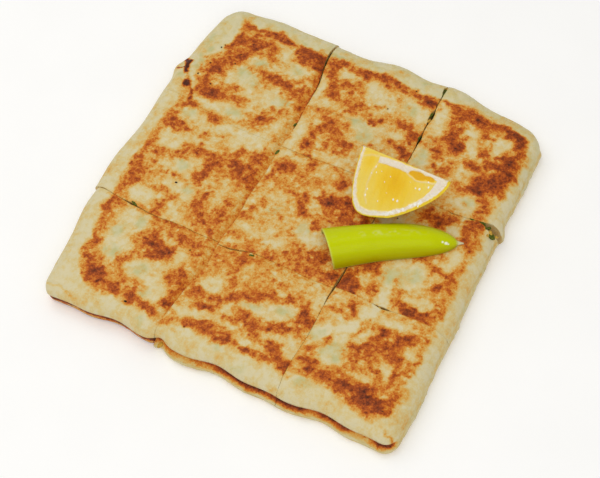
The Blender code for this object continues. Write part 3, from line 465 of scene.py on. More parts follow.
# Herbs and browned egg that stick out of the cuts and of the torn folds: x, y, height, length,
# width, turn in degrees and kind.
CHIP_SEED = 300
CHIPS = (
    (46.2, 112.6, 15.0, 4.6, 2.6, 60, "herb"), (46.5, 115.0, 14.4, 3.4, 2.4, 20, "egg"),
    (46.9, 90.5, 17.0, 4.4, 1.7, 80, "herb"), (47.4, 86.0, 16.8, 3.6, 1.8, 75, "egg"),
    (47.5, 71.5, 17.0, 3.0, 1.3, 80, "herb"), (46.7, 108.6, 16.4, 3.6, 1.8, 100, "herb"),
    (-33.2, 112.4, 12.2, 3.2, 1.8, 80, "herb"), (-27.0, 48.5, 17.0, 3.0, 1.7, 70, "herb"),
    (-27.0, 25.0, 17.2, 4.4, 2.2, 85, "herb"), (-5.5, -47.4, 17.2, 3.4, 1.5, 20, "herb"),
    (-88.0, -45.4, 17.2, 5.6, 1.5, -20, "herb"), (105.0, 29.6, 16.8, 5.0, 2.0, -12, "herb"),
    (109.6, 28.4, 16.6, 4.8, 2.4, -50, "herb"), (113.8, 27.2, 15.4, 4.2, 2.3, -40, "egg"),
    (115.0, 24.8, 15.2, 5.0, 2.2, -25, "herb"), (117.6, 27.2, 13.2, 2.8, 1.8, 30, "egg"),
    (116.2, 25.8, 14.8, 4.4, 1.7, -50, "herb"), (107.0, 30.4, 16.8, 4.6, 1.8, 15, "herb"),
    (101.0, 30.2, 17.0, 4.0, 1.4, 0, "herb"), (111.8, 29.6, 15.6, 3.0, 2.0, 40, "herb"),
    (112.8, 24.6, 15.6, 2.6, 2.0, 10, "egg"), (-116.5, 62.0, 14.4, 2.6, 1.8, 60, "egg"),
    (-113.0, 56.0, 15.6, 3.6, 2.2, 70, "herb"), (-110.0, 69.5, 15.8, 3.0, 1.8, 40, "herb"),
    (50.0, -43.5, 16.4, 2.4, 1.4, 80, "egg"), (77.0, -46.6, 16.4, 3.0, 1.4, 10, "egg"),
    (-28.4, -117.6, 6.4, 4.4, 2.4, 75, "egg"),
)


# ---- small functions ----


def hump(value, middle, width):
    """A smooth hump of height one round the middle."""
    return np.exp(-(((value - middle) / width) ** 2))


def ramp(value, start, end):
    """From zero at start to one at end, with soft ends."""
    part = np.clip((value - start) / (end - start), 0.0, 1.0)
    return part * part * (3.0 - 2.0 * part)


def noise(x, y, size, seed):
    """Smooth seeded noise from -1 to 1 whose lumps are about as large as size."""
    table = np.random.default_rng(seed).uniform(-1.0, 1.0, (NOISE_CELLS, NOISE_CELLS))
    column = np.floor(x / size).astype(int)
    row = np.floor(y / size).astype(int)
    across = x / size - column
    along = y / size - row
    across = across * across * (3.0 - 2.0 * across)
    along = along * along * (3.0 - 2.0 * along)
    left = column % NOISE_CELLS
    right = (column + 1) % NOISE_CELLS
    low = row % NOISE_CELLS
    high = (row + 1) % NOISE_CELLS
    near = table[left, low] * (1.0 - across) + table[right, low] * across
    far = table[left, high] * (1.0 - across) + table[right, high] * across
    return near * (1.0 - along) + far * along


def turned(x, y, angle):
    """The point x, y turned about the origin."""
    return x * math.cos(angle) - y * math.sin(angle), x * math.sin(angle) + y * math.cos(angle)


def fractal(x, y, size, seed, octaves=3):
    """Noise with finer noise on it, turned at each step so that no grid shows."""
    total = 0.0
    weight = 1.0
    for octave in range(octaves):
        turned_x, turned_y = turned(x, y, 0.6 + octave)
        total = total + weight * noise(turned_x, turned_y, size / 2.0**octave, seed + octave)
        weight *= 0.55
    return total


def humps(value, rows):
    """The sum of several humps, each with its height, its middle and its width."""
    return sum(height * hump(value, middle, width) for height, middle, width in rows)


def ragged(along, coarse, fine, seed):
    """How uneven a torn edge is along its length, from coarse lumps and fine ones."""
    flat = np.zeros_like(along)
    return coarse * noise(along, flat, 4.0, seed) + fine * noise(along, flat, 1.5, seed + 1)


def reach_of(x, y, middle_x, middle_y, half_x, half_y):
    """How far x, y lies from the middle of an ellipse, as a share of its half widths."""
    return np.hypot((x - middle_x) / half_x, (y - middle_y) / half_y)


def along_knots(value, knots):
    """The height of a line through knots at a value."""
    return np.interp(value, *zip(*knots))


def distance_to_line(x, y, points):
    """How far x, y lies from a line through points."""
    nearest = np.full(np.shape(x), 1e9)
    for (ax, ay), (bx, by) in zip(points, points[1:]):
        run_x = bx - ax
        run_y = by - ay
        share = np.clip(((x - ax) * run_x + (y - ay) * run_y) / (run_x**2 + run_y**2), 0.0, 1.0)
        nearest = np.minimum(nearest, np.hypot(x - ax - share * run_x, y - ay - share * run_y))
    return nearest


# ---- the outline and the cuts ----


def left_edge(y, row):
    """The x of the bread's left side, with its swellings."""
    if row == "near":
        return -HALF_WIDTH + 4.0 + 8.0 * ramp(-y, 50.0, 115.0) + 0.4 * np.sin(y / 7.0)
    swell = 3.6 * hump(y, 61.0, 7.0) + 1.2 * hump(y, -25.0, 20.0)
    return -HALF_WIDTH + 2.37 - swell + 0.5 * np.sin(y / 9.0) + 6.0 * ramp(y, 70.0, 118.0)


def right_edge(y):
    """The x of the bread's right side, with the flap beside the far cut."""
    lean = 3.6 * ramp(y, -100.0, 60.0)
    flap = 2.6 * hump(y, 33.0, 4.5)
    return HALF_WIDTH - 1.93 - lean + flap + 0.35 * np.sin(y / 8.0)


def near_edge(x):
    """The y of the bread's near side, scalloped and notched at the left cut."""
    scallops = 1.1 * np.sin(x / 11.0 + 0.6) + 0.7 * np.sin(x / 5.3)
    notch = 3.2 * hump(x, CUT_LEFT_X - 2.0, 5.0)
    return -HALF_DEPTH + 4.59 + scallops + notch


def far_edge(x, column):
    """The y of the bread's far side, which falls back towards the right corner."""
    flaps = {
        "left": 0.4 + 2.4 * (1.0 - ramp(x, -54.0, -34.0)),
        "middle": -1.2 + 2.2 * hump(x, 11.0, 20.0),
        "right": -0.6,
    }[column]
    fall = 13.0 * ramp(x, 42.0, 125.0)
    return HALF_DEPTH - 2.11 + flaps - fall + 0.8 * np.sin(x / 7.0)


def cut_left(y):
    """The x of the cut between the left and the middle column."""
    drift = -6.0 * ramp(y, 60.0, 118.0) - 5.0 * ramp(-y, 60.0, 112.0)
    return CUT_LEFT_X + drift + 0.5 * np.sin(y / 6.0)


def cut_right(y):
    """The x of the cut between the middle and the right column."""
    return CUT_RIGHT_X - 1.6 * ramp(y, 60.0, 118.0) + 0.4 * np.sin(y / 7.0)


def cut_far(x, column):
    """The y of the cut between the far and the middle row, which steps at the left column."""
    if column == "left":
        return CUT_FAR_Y + 9.2 - 9.0 * ramp(x, -118.0, -55.0) + 0.4 * np.sin(x / 6.0)
    return CUT_FAR_Y + 0.6 * np.sin(x / 8.0)


def cut_near(x, column):
    """The y of the cut between the middle and the near row, which steps at each column."""
    if column == "left":
        return CUT_NEAR_Y + 3.3 - 4.0 * ramp(x, -118.0, -75.0) + 0.4 * np.sin(x / 5.0)
    if column == "middle":
        return CUT_NEAR_Y - 2.4 + 3.6 * ramp(x, -22.0, -4.0) - 1.2 * ramp(x, 0.0, 30.0)
    return CUT_NEAR_Y + 0.9 + 0.4 * np.sin(x / 7.0)


def gap_left(y, seed):
    """Half the width of the gap between the left and the middle column, torn a little."""
    tears = humps(y, LEFT_CUT_TEARS) + 0.35 * ramp(y, 52.0, 80.0) - 0.2 * ramp(-y, 94.0, 102.0)
    return np.maximum(0.2 + tears + ragged(y, 0.12, 0.08, seed), NARROWEST_GAP)


def gap_right(y, seed):
    """Half the width of the gap between the middle and the right column, torn at its far end."""
    torn = 1.0 + 2.0 * ramp(y, 70.0, 90.0)
    plain = 0.22 - 0.16 * ramp(-y, 52.0, 62.0) + humps(y, RIGHT_CUT_TEARS)
    return np.maximum(plain + torn * ragged(y, 0.12, 0.08, seed), NARROWEST_GAP)


def gap_far(x, column, seed):
    """Half the width of the far cut; it is closed on the left column."""
    if column == "left":
        return 0.0 * x
    return 0.14 + humps(x, FAR_CUT_TEARS[column]) + ragged(x, 0.06, 0.05, seed)


def gap_near(x, column, seed):
    """Half the width of the near cut; on the right column it is one short crack."""
    uneven = ragged(x, 0.07, 0.05, seed)
    if column == "right":
        return (0.75 + 3.0 * uneven) * hump(x, 79.0, 6.0) ** 2
    if column == "left":
        return 0.13 + 0.5 * hump(x, -90.0, 4.0) + 0.12 * hump(x, -80.0, 25.0) + uneven
    return np.maximum(0.05 + 0.4 * hump(x, -17.0, 10.0) + uneven, NARROWEST_NEAR_GAP)


def piece_edges(x, y, column, row):
    """The four edges of a piece at x, y: left, right, near and far."""
    if column == "left":
        left = left_edge(y, row)
        right = cut_left(y) - gap_left(y, 11)
    elif column == "middle":
        left = cut_left(y) + gap_left(y, 13)
        right = cut_right(y) - gap_right(y, 15)
    else:
        left = cut_right(y) + gap_right(y, 17)
        right = right_edge(y)
    if row == "near":
        near = near_edge(x)
        far = cut_near(x, column) - gap_near(x, column, 21)
    elif row == "middle":
        near = cut_near(x, column) + gap_near(x, column, 23)
        far = cut_far(x, column) - gap_far(x, column, 25)
    else:
        near = cut_far(x, column) + 0.35 * gap_far(x, column, 27)
        far = far_edge(x, column)
    return left, right, near, far


def piece_size(column, row):
    """Width and depth of a piece along its middle lines."""
    zero = np.zeros(1)
    left, right, near, far = piece_edges(zero, zero, column, row)
    return float((right - left)[0]), float((far - near)[0])


def round_corner(x, y, column, row, from_side, from_end, out_x, out_y, lip):
    """The plan with the corner between two outer sides rounded off."""
    sign_x = -1.0 if column == "left" else 1.0
    sign_y = -1.0 if row == "near" else 1.0
    radius = CORNER_RADIUS[(column, row)]
    across = np.clip(1.0 - from_side / radius, 0.0, 1.0)
    along = np.clip(1.0 - from_end / radius, 0.0, 1.0)
    inside = (across > 0.0) & (along > 0.0)
    round_across = across * np.sqrt(1.0 - along * along / 2.0)
    round_along = along * np.sqrt(1.0 - across * across / 2.0)
    x = np.where(inside, x + sign_x * radius * (round_across - across), x)
    y = np.where(inside, y + sign_y * radius * (round_along - along), y)
    lip = np.where(inside, radius * (1.0 - np.hypot(round_across, round_along)), lip)
    border = inside & ((out_x > 0.0) | (out_y > 0.0))
    out_x = np.where(border, round_across, out_x)
    out_y = np.where(border, round_along, out_y)
    return x, y, out_x, out_y, lip


def slump(x, column, row, left, right, near, far):
    """How far the crust sags beside the cuts, from its distances to the four sides of a piece."""
    sag = np.zeros_like(x)
    if column != "left":
        sag = np.maximum(sag, CUT_SLUMP * hump(left, 0.0, SLUMP_WIDTH))
    if column == "left":
        sag = np.maximum(sag, LEFT_SLUMP * hump(right, 0.0, LEFT_SLUMP_WIDTH))
    elif column == "middle":
        sag = np.maximum(sag, CUT_SLUMP * hump(right, 0.0, SLUMP_WIDTH))
    open_far = ramp(x, CUT_LEFT_X - 6.0, CUT_LEFT_X)
    open_near = 1.0 - ramp(x, CUT_RIGHT_X, CUT_RIGHT_X + 8.0) + hump(x, 80.0, 7.0)
    if row != "near":
        is_open = open_far if row == "far" else open_near
        sag = np.maximum(sag, CUT_SLUMP * hump(near, 0.0, SLUMP_WIDTH) * is_open)
    if row != "far":
        is_open = open_far if row == "middle" else open_near
        sag = np.maximum(sag, CUT_SLUMP * hump(far, 0.0, SLUMP_WIDTH) * is_open)
    return sag


def place_in_plan(u, v, column, row):
    """The x and y of the shares u, v of a piece, how far each point lies from the lip, how far it
    sags beside a cut, and which way is outward there."""
    width, depth = piece_size(column, row)
    x = np.zeros_like(u)
    y = np.zeros_like(u)
    for _ in range(6):
        left, right, near, far = piece_edges(x, y, column, row)
        x = left + u * (right - left)
        y = near + v * (far - near)
    from_side = u * width if column == "left" else (1.0 - u) * width
    from_end = v * depth if row == "near" else (1.0 - v) * depth
    lip = np.full_like(u, 1000.0)
    out_x = np.zeros_like(u)
    out_y = np.zeros_like(u)
    if column != "middle":
        lip = from_side
        out_x = np.where(from_side < 0.01, 1.0, 0.0)
    if row != "middle":
        lip = np.minimum(lip, from_end)
        out_y = np.where(from_end < 0.01, 1.0, 0.0)
    if column != "middle" and row != "middle":
        x, y, out_x, out_y, lip = round_corner(x, y, column, row, from_side, from_end, out_x, out_y, lip)
    sag = slump(x, column, row, u * width, (1.0 - u) * width, v * depth, (1.0 - v) * depth)
    sign_x = -1.0 if column == "left" else 1.0
    sign_y = -1.0 if row == "near" else 1.0
    return x, y, lip, sag, sign_x * out_x, sign_y * out_y


# ---- the crust ----


def lies_under_topping(x, y):
    """One under the lemon and the chilli, where the crust is pressed level, and zero elsewhere."""
    lemon = reach_of(x, y, *LEMON_AT, 26.0, 22.0)
    run, off = turned(x - CHILLI_AT[0], y - CHILLI_AT[1], -CHILLI_TURN)
    along = np.maximum(np.maximum(-run, run - CHILLI_LENGTH), 0.0)
    chilli = np.hypot(along, np.maximum(np.abs(off) - CHILLI_WIDTH / 2.0, 0.0)) / 8.0
    return 1.0 - ramp(np.minimum(lemon, 0.6 + chilli), 0.7, 1.3)


def crust_height(x, y):
    """The height of the crust away from the rims: low blisters, folds and hollows."""
    waves = 0.35 * np.sin(x / 13.0 + 1.0) * np.cos(y / 11.0)
    waves = waves + 0.25 * np.sin(x / 6.5 - y / 9.0)
    fold = 0.8 * hump(y - 64.5, 0.0, 2.2) * ramp(x, -26.0, -18.0) * (1.0 - ramp(x, 6.0, 22.0))
    line = (y + 59.0) - 1.05 * (x - 62.0)
    fold = fold + 1.0 * hump(line, 0.0, 5.0) * hump(x, 61.0, 13.0)
    blister = 0.7 * hump(x, 62.0, 8.0) * hump(y, -84.0, 6.0)
    blister = blister + 0.8 * hump(x, 73.0, 8.0) * hump(y, -16.0, 8.0)
    burnt = 1.2 * hump(x, -112.0, 8.0) * hump(y, 58.0, 8.0)
    free = 1.0 - lies_under_topping(x, y)
    return THICKNESS + (waves - 0.5 + fold + blister + burnt) * free - PRESSED * (1.0 - free)


def rim_fall(distance):
    """How far the crust curves down towards its lip, by the distance from the lip."""
    share = np.clip(distance / RIM_ROUND, 0.0, 1.0)
    return RIM_DROP * (1.0 - np.sqrt(np.maximum(1.0 - (1.0 - share) ** 2.4, 0.0)))


def browned_face(x, y):
    """One on the browned face and zero on the pale border, with an uneven limit."""
    wander = 2.2 * fractal(x, y, 7.0, 41)
    inside = ramp(along_knots(x, FAR_LIMIT) - y + wander, -1.5, 2.5)
    inside = inside * ramp(y - along_knots(x, NEAR_LIMIT) + wander, -1.5, 2.5)
    inside = inside * ramp(x - along_knots(y, LEFT_LIMIT) + wander, -1.5, 2.5)
    return inside * ramp(along_knots(y, RIGHT_LIMIT) - x + wander, -1.5, 2.5)


def add_spots(toast, x, y, spots):
    """The browning with a list of soft spots added to it."""
    for middle_x, middle_y, half_x, half_y, strength in spots:
        reach = reach_of(x, y, middle_x, middle_y, half_x + SPOT_SPREAD, half_y + SPOT_SPREAD)
        toast = toast + SPOT_STRENGTH * strength * np.exp(-(reach**2.4))
    return toast


def browning(x, y, piece):
    """How brown the crust is, from 0, pale, over 0.5, golden brown, to 1, scorched."""
    bent_x = x + 1.1 * fractal(x, y, 4.2, 51)
    bent_y = y + 1.1 * fractal(x, y, 4.2, 61)
    spots = BROWNING[piece]
    if piece in ("far_left", "middle_left"):
        spots = BROWNING["far_left"] + BROWNING["middle_left"]
    toast = add_spots(BASE_TOAST[piece] + 0.06 * fractal(x, y, 8.0, 71), bent_x, bent_y, spots)
    islands = fractal(x, y, 4.0, 83, 2)
    grain = 0.17 * fractal(x, y, 3.0, 81) - 0.16 * ramp(islands, 0.55, 0.8)
    grain = grain + 0.16 * ramp(-islands, 0.55, 0.9)
    toast = np.maximum(toast, 0.1) + grain * (0.6 + 0.4 * ramp(toast, 0.12, 0.42))
    if piece in ("far_left", "middle_left", "near_left"):
        # Painted shade where the left column slopes down into the cut.
        shade = along_knots(y, CUT_SHADE) * hump(cut_left(y) - x, 0.0, 4.0)
        toast = np.maximum(toast, shade + 0.05 * fractal(x, y, 3.0, 87))
    face = browned_face(x, y)
    border = np.maximum(0.08 + 0.13 * fractal(x, y, 8.0, 91) + 0.07 * fractal(x, y, 2.5, 95), 0.0)
    border = add_spots(border, bent_x, bent_y, RIM_SPOTS)
    toast = toast - 0.3 * np.maximum(toast - 0.7, 0.0)
    toast = np.clip(toast, 0.0, 1.1) * face + border * (1.0 - face)
    for points, half_width, _, amount in CREASES:
        toast = toast + amount * hump(distance_to_line(bent_x, bent_y, points), 0.0, half_width)
    return np.clip(toast, 0.0, 1.2)


def greenness(x, y):
    """Where the pale dough turns green-grey, mostly where herbs in the filling show through thin dough.
    """
    bent_x = x + 1.6 * fractal(x, y, 4.0, 101)
    bent_y = y + 1.6 * fractal(x, y, 4.0, 105)
    green = np.zeros_like(x)
    for spot in GREEN_SPOTS:
        green = np.maximum(green, 1.0 - ramp(reach_of(bent_x, bent_y, *spot), 0.3, 1.2))
    rim = (1.0 - browned_face(x, y)) * (0.1 + 0.3 * ramp(y, 40.0, 110.0))
    return np.maximum(green, rim) * (0.75 + 0.5 * noise(x, y, 3.0, 109))


def crust_relief(x, y, toast):
    """Fine height on the crust: browned spots are raised, creases are pressed in."""
    relief = 0.6 * (toast - 0.4) + 0.22 * fractal(x, y, 5.0, 121) + 0.1 * fractal(x, y, 1.8, 125)
    relief = relief + 0.3 * fractal(x, y, 3.6, 127) * (1.0 - browned_face(x, y))
    for points, half_width, height, _ in CREASES:
        relief = relief + height * hump(distance_to_line(x, y, points), 0.0, half_width)
    return relief * (1.0 - lies_under_topping(x, y))


# ---- the meshes of the pieces ----


def stations(width, first_is_outer, last_is_outer, step):
    """The shares of a width at which a grid has a line: finer where the border curves down."""
    rim = [0.0, 0.12, 0.35, 0.7, 1.15, 1.7]
    first = rim if first_is_outer else [0.0, 0.4]
    last = rim if last_is_outer else [0.0, 0.4]
    count = round((width - first[-1] - last[-1]) / step)
    middle = np.linspace(first[-1], width - last[-1], count + 1)[1:-1]
    return np.concatenate([first, middle, width - np.array(last[::-1])]) / width


def grid_shares(first, second):
    """The points of a grid in order, from the places of its lines both ways."""
    return (axis.ravel() for axis in np.meshgrid(first, second, indexing="ij"))


def border_of_grid(count_u, count_v):
    """The vertex numbers round a grid in order, and which way is out of it there in u and in v."""
    walk = [(i, 0) for i in range(count_u)]
    walk += [(count_u - 1, j) for j in range(1, count_v)]
    walk += [(i, count_v - 1) for i in range(count_u - 2, -1, -1)]
    walk += [(0, j) for j in range(count_v - 2, 0, -1)]
    i, j = np.array(walk).T
    out_u = np.where(i == 0, -1.0, 0.0) + np.where(i == count_u - 1, 1.0, 0.0)
    out_v = np.where(j == 0, -1.0, 0.0) + np.where(j == count_v - 1, 1.0, 0.0)
    return i * count_v + j, out_u, out_v


def grid_faces(count_u, count_v, start=0):
    """The quads of a grid whose first vertex has the number start."""
    i, j = np.meshgrid(np.arange(count_u - 1), np.arange(count_v - 1), indexing="ij")
    a = (start + i * count_v + j).ravel()
    return np.stack([a, a + count_v, a + count_v + 1, a + 1], 1)


def ring_faces(upper, lower):
    """Quads between two closed rings of vertex numbers."""
    return np.stack([upper, lower, np.roll(lower, -1), np.roll(upper, -1)], 1)


def new_mesh(name, points, faces, attributes):
    """A mesh from points in millimetres, with one number on each vertex for every attribute."""
    mesh = bpy.data.meshes.new(name)
    mesh.from_pydata((np.asarray(points) * MM).tolist(), [], [list(map(int, face)) for face in faces])
    for key, values in attributes.items():
        layer = mesh.attributes.new(key, "FLOAT", "POINT")
        layer.data.foreach_set("value", np.asarray(values, np.float32))
    mesh.shade_smooth()
    return mesh


def new_piece(name, mesh, nodes, material):
    """An object that rides on the part and stands for the solids named in nodes."""
    piece = bpy.data.objects.new(name, mesh)
    bpy.context.scene.collection.objects.link(piece)
    mesh.materials.clear()
    mesh.materials.append(material)
    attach(piece, "root")
    if nodes:
        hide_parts(*nodes)
    return piece


def wall_out(z, column, row, out_x, out_y):
    """How far an outer side stands out in x and y at a height."""
    side_x = "left" if column == "left" else "right"
    side_y = "near" if row == "near" else "far"
    if row == "near" and column == "left":
        side_y = "tucked"
    return (
        out_x * np.interp(z, WALL_HEIGHTS, WALL_OUT[side_x]),
        out_y * np.interp(z, WALL_HEIGHTS, WALL_OUT[side_y]),
    )


def side_browning_and_shade(run, level, way_y, outer, tucked, row, seam_shade):
    """How brown the sides are at a height, with painted shade: banded on the near side, and plain on the
    others.
    """
    faces_near = np.where(row == "near", ramp(-way_y, 0.3, 0.8), 0.0)
    plain = np.interp(level, WALL_HEIGHTS, WALL_TOAST_AND_SHADE["other"])
    banded = np.interp(level, WALL_HEIGHTS, WALL_TOAST_AND_SHADE["tucked" if tucked else "near"])
    banded = np.minimum(banded, 0.2) + np.maximum(banded - 0.2, 0.0) * seam_shade
    toast = plain + (banded - plain) * faces_near + 0.1 * noise(run, level * 2.0, 4.0, 137)
    return np.clip(np.where(outer > 0.3, toast, 0.2), 0.0, 1.0)


def dough_block(name, piece, column, row, low, high, step, rings):
    """A closed block of dough between two heights: its top as a grid, its sides as rings and its
    foot. With no upper height given, its top is the uneven crust."""
    width, depth = piece_size(column, row)
    lines_u = stations(width, column == "left", column == "right", step)
    lines_v = stations(depth, row == "near", row == "far", step)
    u, v = grid_shares(lines_u, lines_v)
    x, y, lip, sag, out_x, out_y = place_in_plan(u, v, column, row)
    toast = browning(x, y, piece)
    if high is None:
        z = crust_height(x, y) - rim_fall(lip) - sag * np.minimum(lip / RIM_ROUND, 1.0)
        z = z + crust_relief(x, y, toast) * np.minimum(0.25 + lip / 6.0, 1.0)
    else:
        z = np.full_like(x, high)
    upper, cut_x, cut_y = border_of_grid(len(lines_u), len(lines_v))
    faces = list(grid_faces(len(lines_u), len(lines_v)))
    points = [np.stack([x, y, z], 1)]
    toasts = [toast]
    greens = [greenness(x, y)]
    edge_x = x[upper]
    edge_y = y[upper]
    edge_z = z[upper]
    way_x = out_x[upper]
    way_y = out_y[upper]
    outer = np.clip(np.hypot(way_x, way_y), 0.0, 1.0)
    # Beside an outer side a cut follows it in and out, so that the foot doesn't cross itself.
    beside = np.clip(1.0 - lip[upper] / CORNER_PULL, 0.0, 1.0)
    on_cut = outer < 0.01
    pull_x = np.where(on_cut & (cut_y != 0.0), (-beside if column == "left" else beside), way_x)
    pull_y = np.where(on_cut & (cut_x != 0.0), (-beside if row == "near" else beside), way_y)
    run = edge_x + edge_y
    tucked = row == "near" and column == "left"
    seam_shade = 1.0 if tucked else along_knots(edge_x, NEAR_SEAM_SHADE)
    total = len(x)
    for ring in range(1, rings + 1):
        level = edge_z + (low - edge_z) * ring / rings
        push_x, push_y = wall_out(level, column, row, pull_x, pull_y)
        fold = 0.6 * noise(run, level * 3.0, 5.0, 131) + 0.3 * noise(run, level * 5.0, 2.2, 133)
        fade = math.sin(math.pi * ring / rings) * outer
        rough = (-0.12 + 0.12 * noise(run, level * 2.0, 1.6, 135)) * (1.0 - outer)
        ring_x = edge_x + push_x + way_x * fold * fade + cut_x * rough
        ring_y = edge_y + push_y + way_y * fold * fade + cut_y * rough
        points.append(np.stack([ring_x, ring_y, level], 1))
        toasts.append(side_browning_and_shade(run, level, way_y, outer, tucked, row, seam_shade))
        greens.append(0.25 * outer * (1.0 + noise(run, level * 2.0, 6.0, 139)))
        lower = total + np.arange(len(upper))
        faces.extend(ring_faces(upper, lower))
        upper = lower
        total += len(upper)
    points.append(np.array([[edge_x.mean(), edge_y.mean(), low]]))
    toasts.append(np.array([0.3]))
    greens.append(np.array([0.0]))
    faces.extend([here, after, total] for here, after in zip(upper, np.roll(upper, -1)))
    masks = {"toast": np.concatenate(toasts), "green": np.concatenate(greens)}
    if high is not None:
        masks = {"toast": np.full(total + 1, 0.3), "green": np.zeros(total + 1)}
    return new_mesh(name, np.concatenate(points), faces, masks)


def filling_block(name, column, row, swell, seal, reach, step, lumps):
    """A slab in the place of a piece's filling, which stops short of the outer sides. Reach is how
    far it goes past the cuts, swell makes it thicker and seal wider, and lumps how uneven it is."""
    width, depth = piece_size(column, row)
    rim_u = (SEALED_RIM - seal) / width
    rim_v = (SEALED_RIM - seal) / depth
    first_u = rim_u if column == "left" else -reach / width
    last_u = 1.0 - rim_u if column == "right" else 1.0 + reach / width
    first_v = rim_v if row == "near" else -reach / depth
    last_v = 1.0 - rim_v if row == "far" else 1.0 + reach / depth
    lines_u = np.linspace(first_u, last_u, max(round(width / step), 2) + 1)
    lines_v = np.linspace(first_v, last_v, max(round(depth / step), 2) + 1)
    u, v = grid_shares(lines_u, lines_v)
    x, y = place_in_plan(u, v, column, row)[:2]
    low = DOUGH + FIT_GAP - swell
    high = THICKNESS - DOUGH - FIT_GAP - FILLING_SLACK + swell
    upper, way_x, way_y = border_of_grid(len(lines_u), len(lines_v))
    edge_x = x[upper]
    edge_y = y[upper]
    top = high - lumps * (0.2 + 0.2 * fractal(x, y, 5.0, 141))
    points = [np.stack([x, y, top], 1)]
    faces = list(grid_faces(len(lines_u), len(lines_v)))
    total = len(x)
    level = top[upper]
    rings = FILLING_RINGS if lumps else 1
    for ring in range(1, rings + 1):
        level = level + (low - level) / (rings + 1 - ring)
        dent = lumps * (0.3 + 0.3 * noise(edge_x + edge_y, level * 2.0, 2.4, 143))
        points.append(np.stack([edge_x - way_x * dent, edge_y - way_y * dent, level], 1))
        lower = total + np.arange(len(upper))
        faces.extend(ring_faces(upper, lower))
        upper = lower
        total += len(upper)
    faces.append(list(upper))
    return new_mesh(name, np.concatenate(points), faces, {})


def hollow_out(name, mesh, cutter_mesh):
    """The mesh with the cutter's space taken out of it."""
    body = bpy.data.objects.new(name + "_block", mesh)
    cutter = bpy.data.objects.new(name + "_hollow", cutter_mesh)
    for helper in (body, cutter):
        bpy.context.scene.collection.objects.link(helper)
    cut = body.modifiers.new("hollow", "BOOLEAN")
    cut.operation = "DIFFERENCE"
    cut.solver = "EXACT"
    cut.object = cutter
    bpy.context.view_layer.update()
    depsgraph = bpy.context.evaluated_depsgraph_get()
    made = bpy.data.meshes.new_from_object(body.evaluated_get(depsgraph))
    for helper in (body, cutter):
        bpy.data.objects.remove(helper)
    made.name = name
    return made


def add_lump(bm, place, long, wide, turn, seed):
    """One small lump: a flattened ball, dented by noise."""
    made = bmesh.ops.create_icosphere(bm, subdivisions=2, radius=1.0)["verts"]
    table = np.random.default_rng(seed).uniform(0.8, 1.15, len(made))
    spin = Matrix.Rotation(math.radians(turn), 3, "Z")
    half_sizes = (long / 2, wide / 2, wide * 0.4)
    for vertex, dent in zip(made, table):
        shape = Vector([part * half for part, half in zip(vertex.co, half_sizes)]) * dent
        vertex.co = (spin @ shape + Vector(place)) * MM


def build_centre(material):
    """The centre piece: a crust and a foot, with the filling open on all four sides."""
    low = THICKNESS - DOUGH - FILLING_SLACK
    centre = ("centre", "middle", "middle")
    crust = dough_block("centre_crust", *centre, low, None, CRUST_STEP, CENTRE_RINGS)
    new_piece("centre_crust", crust, ["dough_centre_top"], material)
    foot = dough_block("centre_foot", *centre, 0.0, DOUGH, FOOT_STEP, CENTRE_RINGS)
    new_piece("centre_foot", foot, ["dough_centre_bottom"], material)


def build_outer(piece, column, row, material):
    """A piece with an outer side: dough that wraps round its filling there."""
    block = dough_block(piece + "_block", piece, column, row, 0.0, None, CRUST_STEP, SIDE_RINGS)
    hollow = filling_block(piece + "_hollow", column, row, FIT_GAP, SEAL_GAP, 3.0, HOLLOW_STEP, 0.0)
    made = hollow_out(piece + "_dough", block, hollow)
    new_piece(piece + "_dough", made, ["dough_" + piece], material)


def build_dough_and_filling(dough, filling):
    for row in ROWS:
        for column in COLUMNS:
            piece = "centre" if column == row == "middle" else f"{row}_{column}"
            if piece == "centre":
                build_centre(dough)
            else:
                build_outer(piece, column, row, dough)
            slab = filling_block(piece + "_filling", column, row, 0.0, 0.0, -0.15, FILLING_STEP, 1.0)
            new_piece(piece + "_filling", slab, ["filling_" + piece], filling)


def build_bits(name, bits, material):
    """One piece made of small lumps: the place, length, width, turn and random seed of each."""
    bm = bmesh.new()
    for bit in bits:
        add_lump(bm, *bit)
    mesh = bpy.data.meshes.new(name)
    bm.to_mesh(mesh)
    bm.free()
    mesh.shade_smooth()
    new_piece(name, mesh, [], material)


def build_crumbs(material):
    bits = []
    for number, (x, y, long, wide, turn) in enumerate(CRUMBS):
        z = float(crust_height(np.array([x]), np.array([y]))[0]) + 0.15
        bits.append(((x, y, z), long, wide, turn, CRUMB_SEED + number))
    build_bits("burnt_crumbs", bits, material)


def build_chips(kind, material):
    bits = []
    for number, (x, y, z, long, wide, turn, its_kind) in enumerate(CHIPS):
        if its_kind == kind:
            bits.append(((x, y, z), long, wide, turn, CHIP_SEED + number))
    build_bits(kind + "_bits", bits, material)


# ---- the lemon wedge ----


def lemon_reach(x, turn):
    """How far the skin lies from the ridge at x, in a direction turned away from the near face."""
    share = x / (LEMON_LENGTH / 2.0)
    power = np.where(share < 0.0, LEMON_BLUNT_END, LEMON_POINTED_END)
    outline = np.sqrt(np.maximum(1.0 - np.abs(share) ** power, 0.0))
    depth = LEMON_DEPTH * (1.0 - LEMON_EGG * share) * outline
    across = LEMON_OFFSET * np.sin(turn)
    return depth * (LEMON_OFFSET * np.cos(turn) + np.sqrt((1.0 - LEMON_OFFSET) ** 2 - across**2))


def fleck_reach(along, down, fleck_along, fleck_down, size):
    """How far a place on the near face lies from a painted highlight fleck, which is drawn out
    downwards.
    """
    return np.hypot((along - fleck_along) / 0.6, down - fleck_down) / size


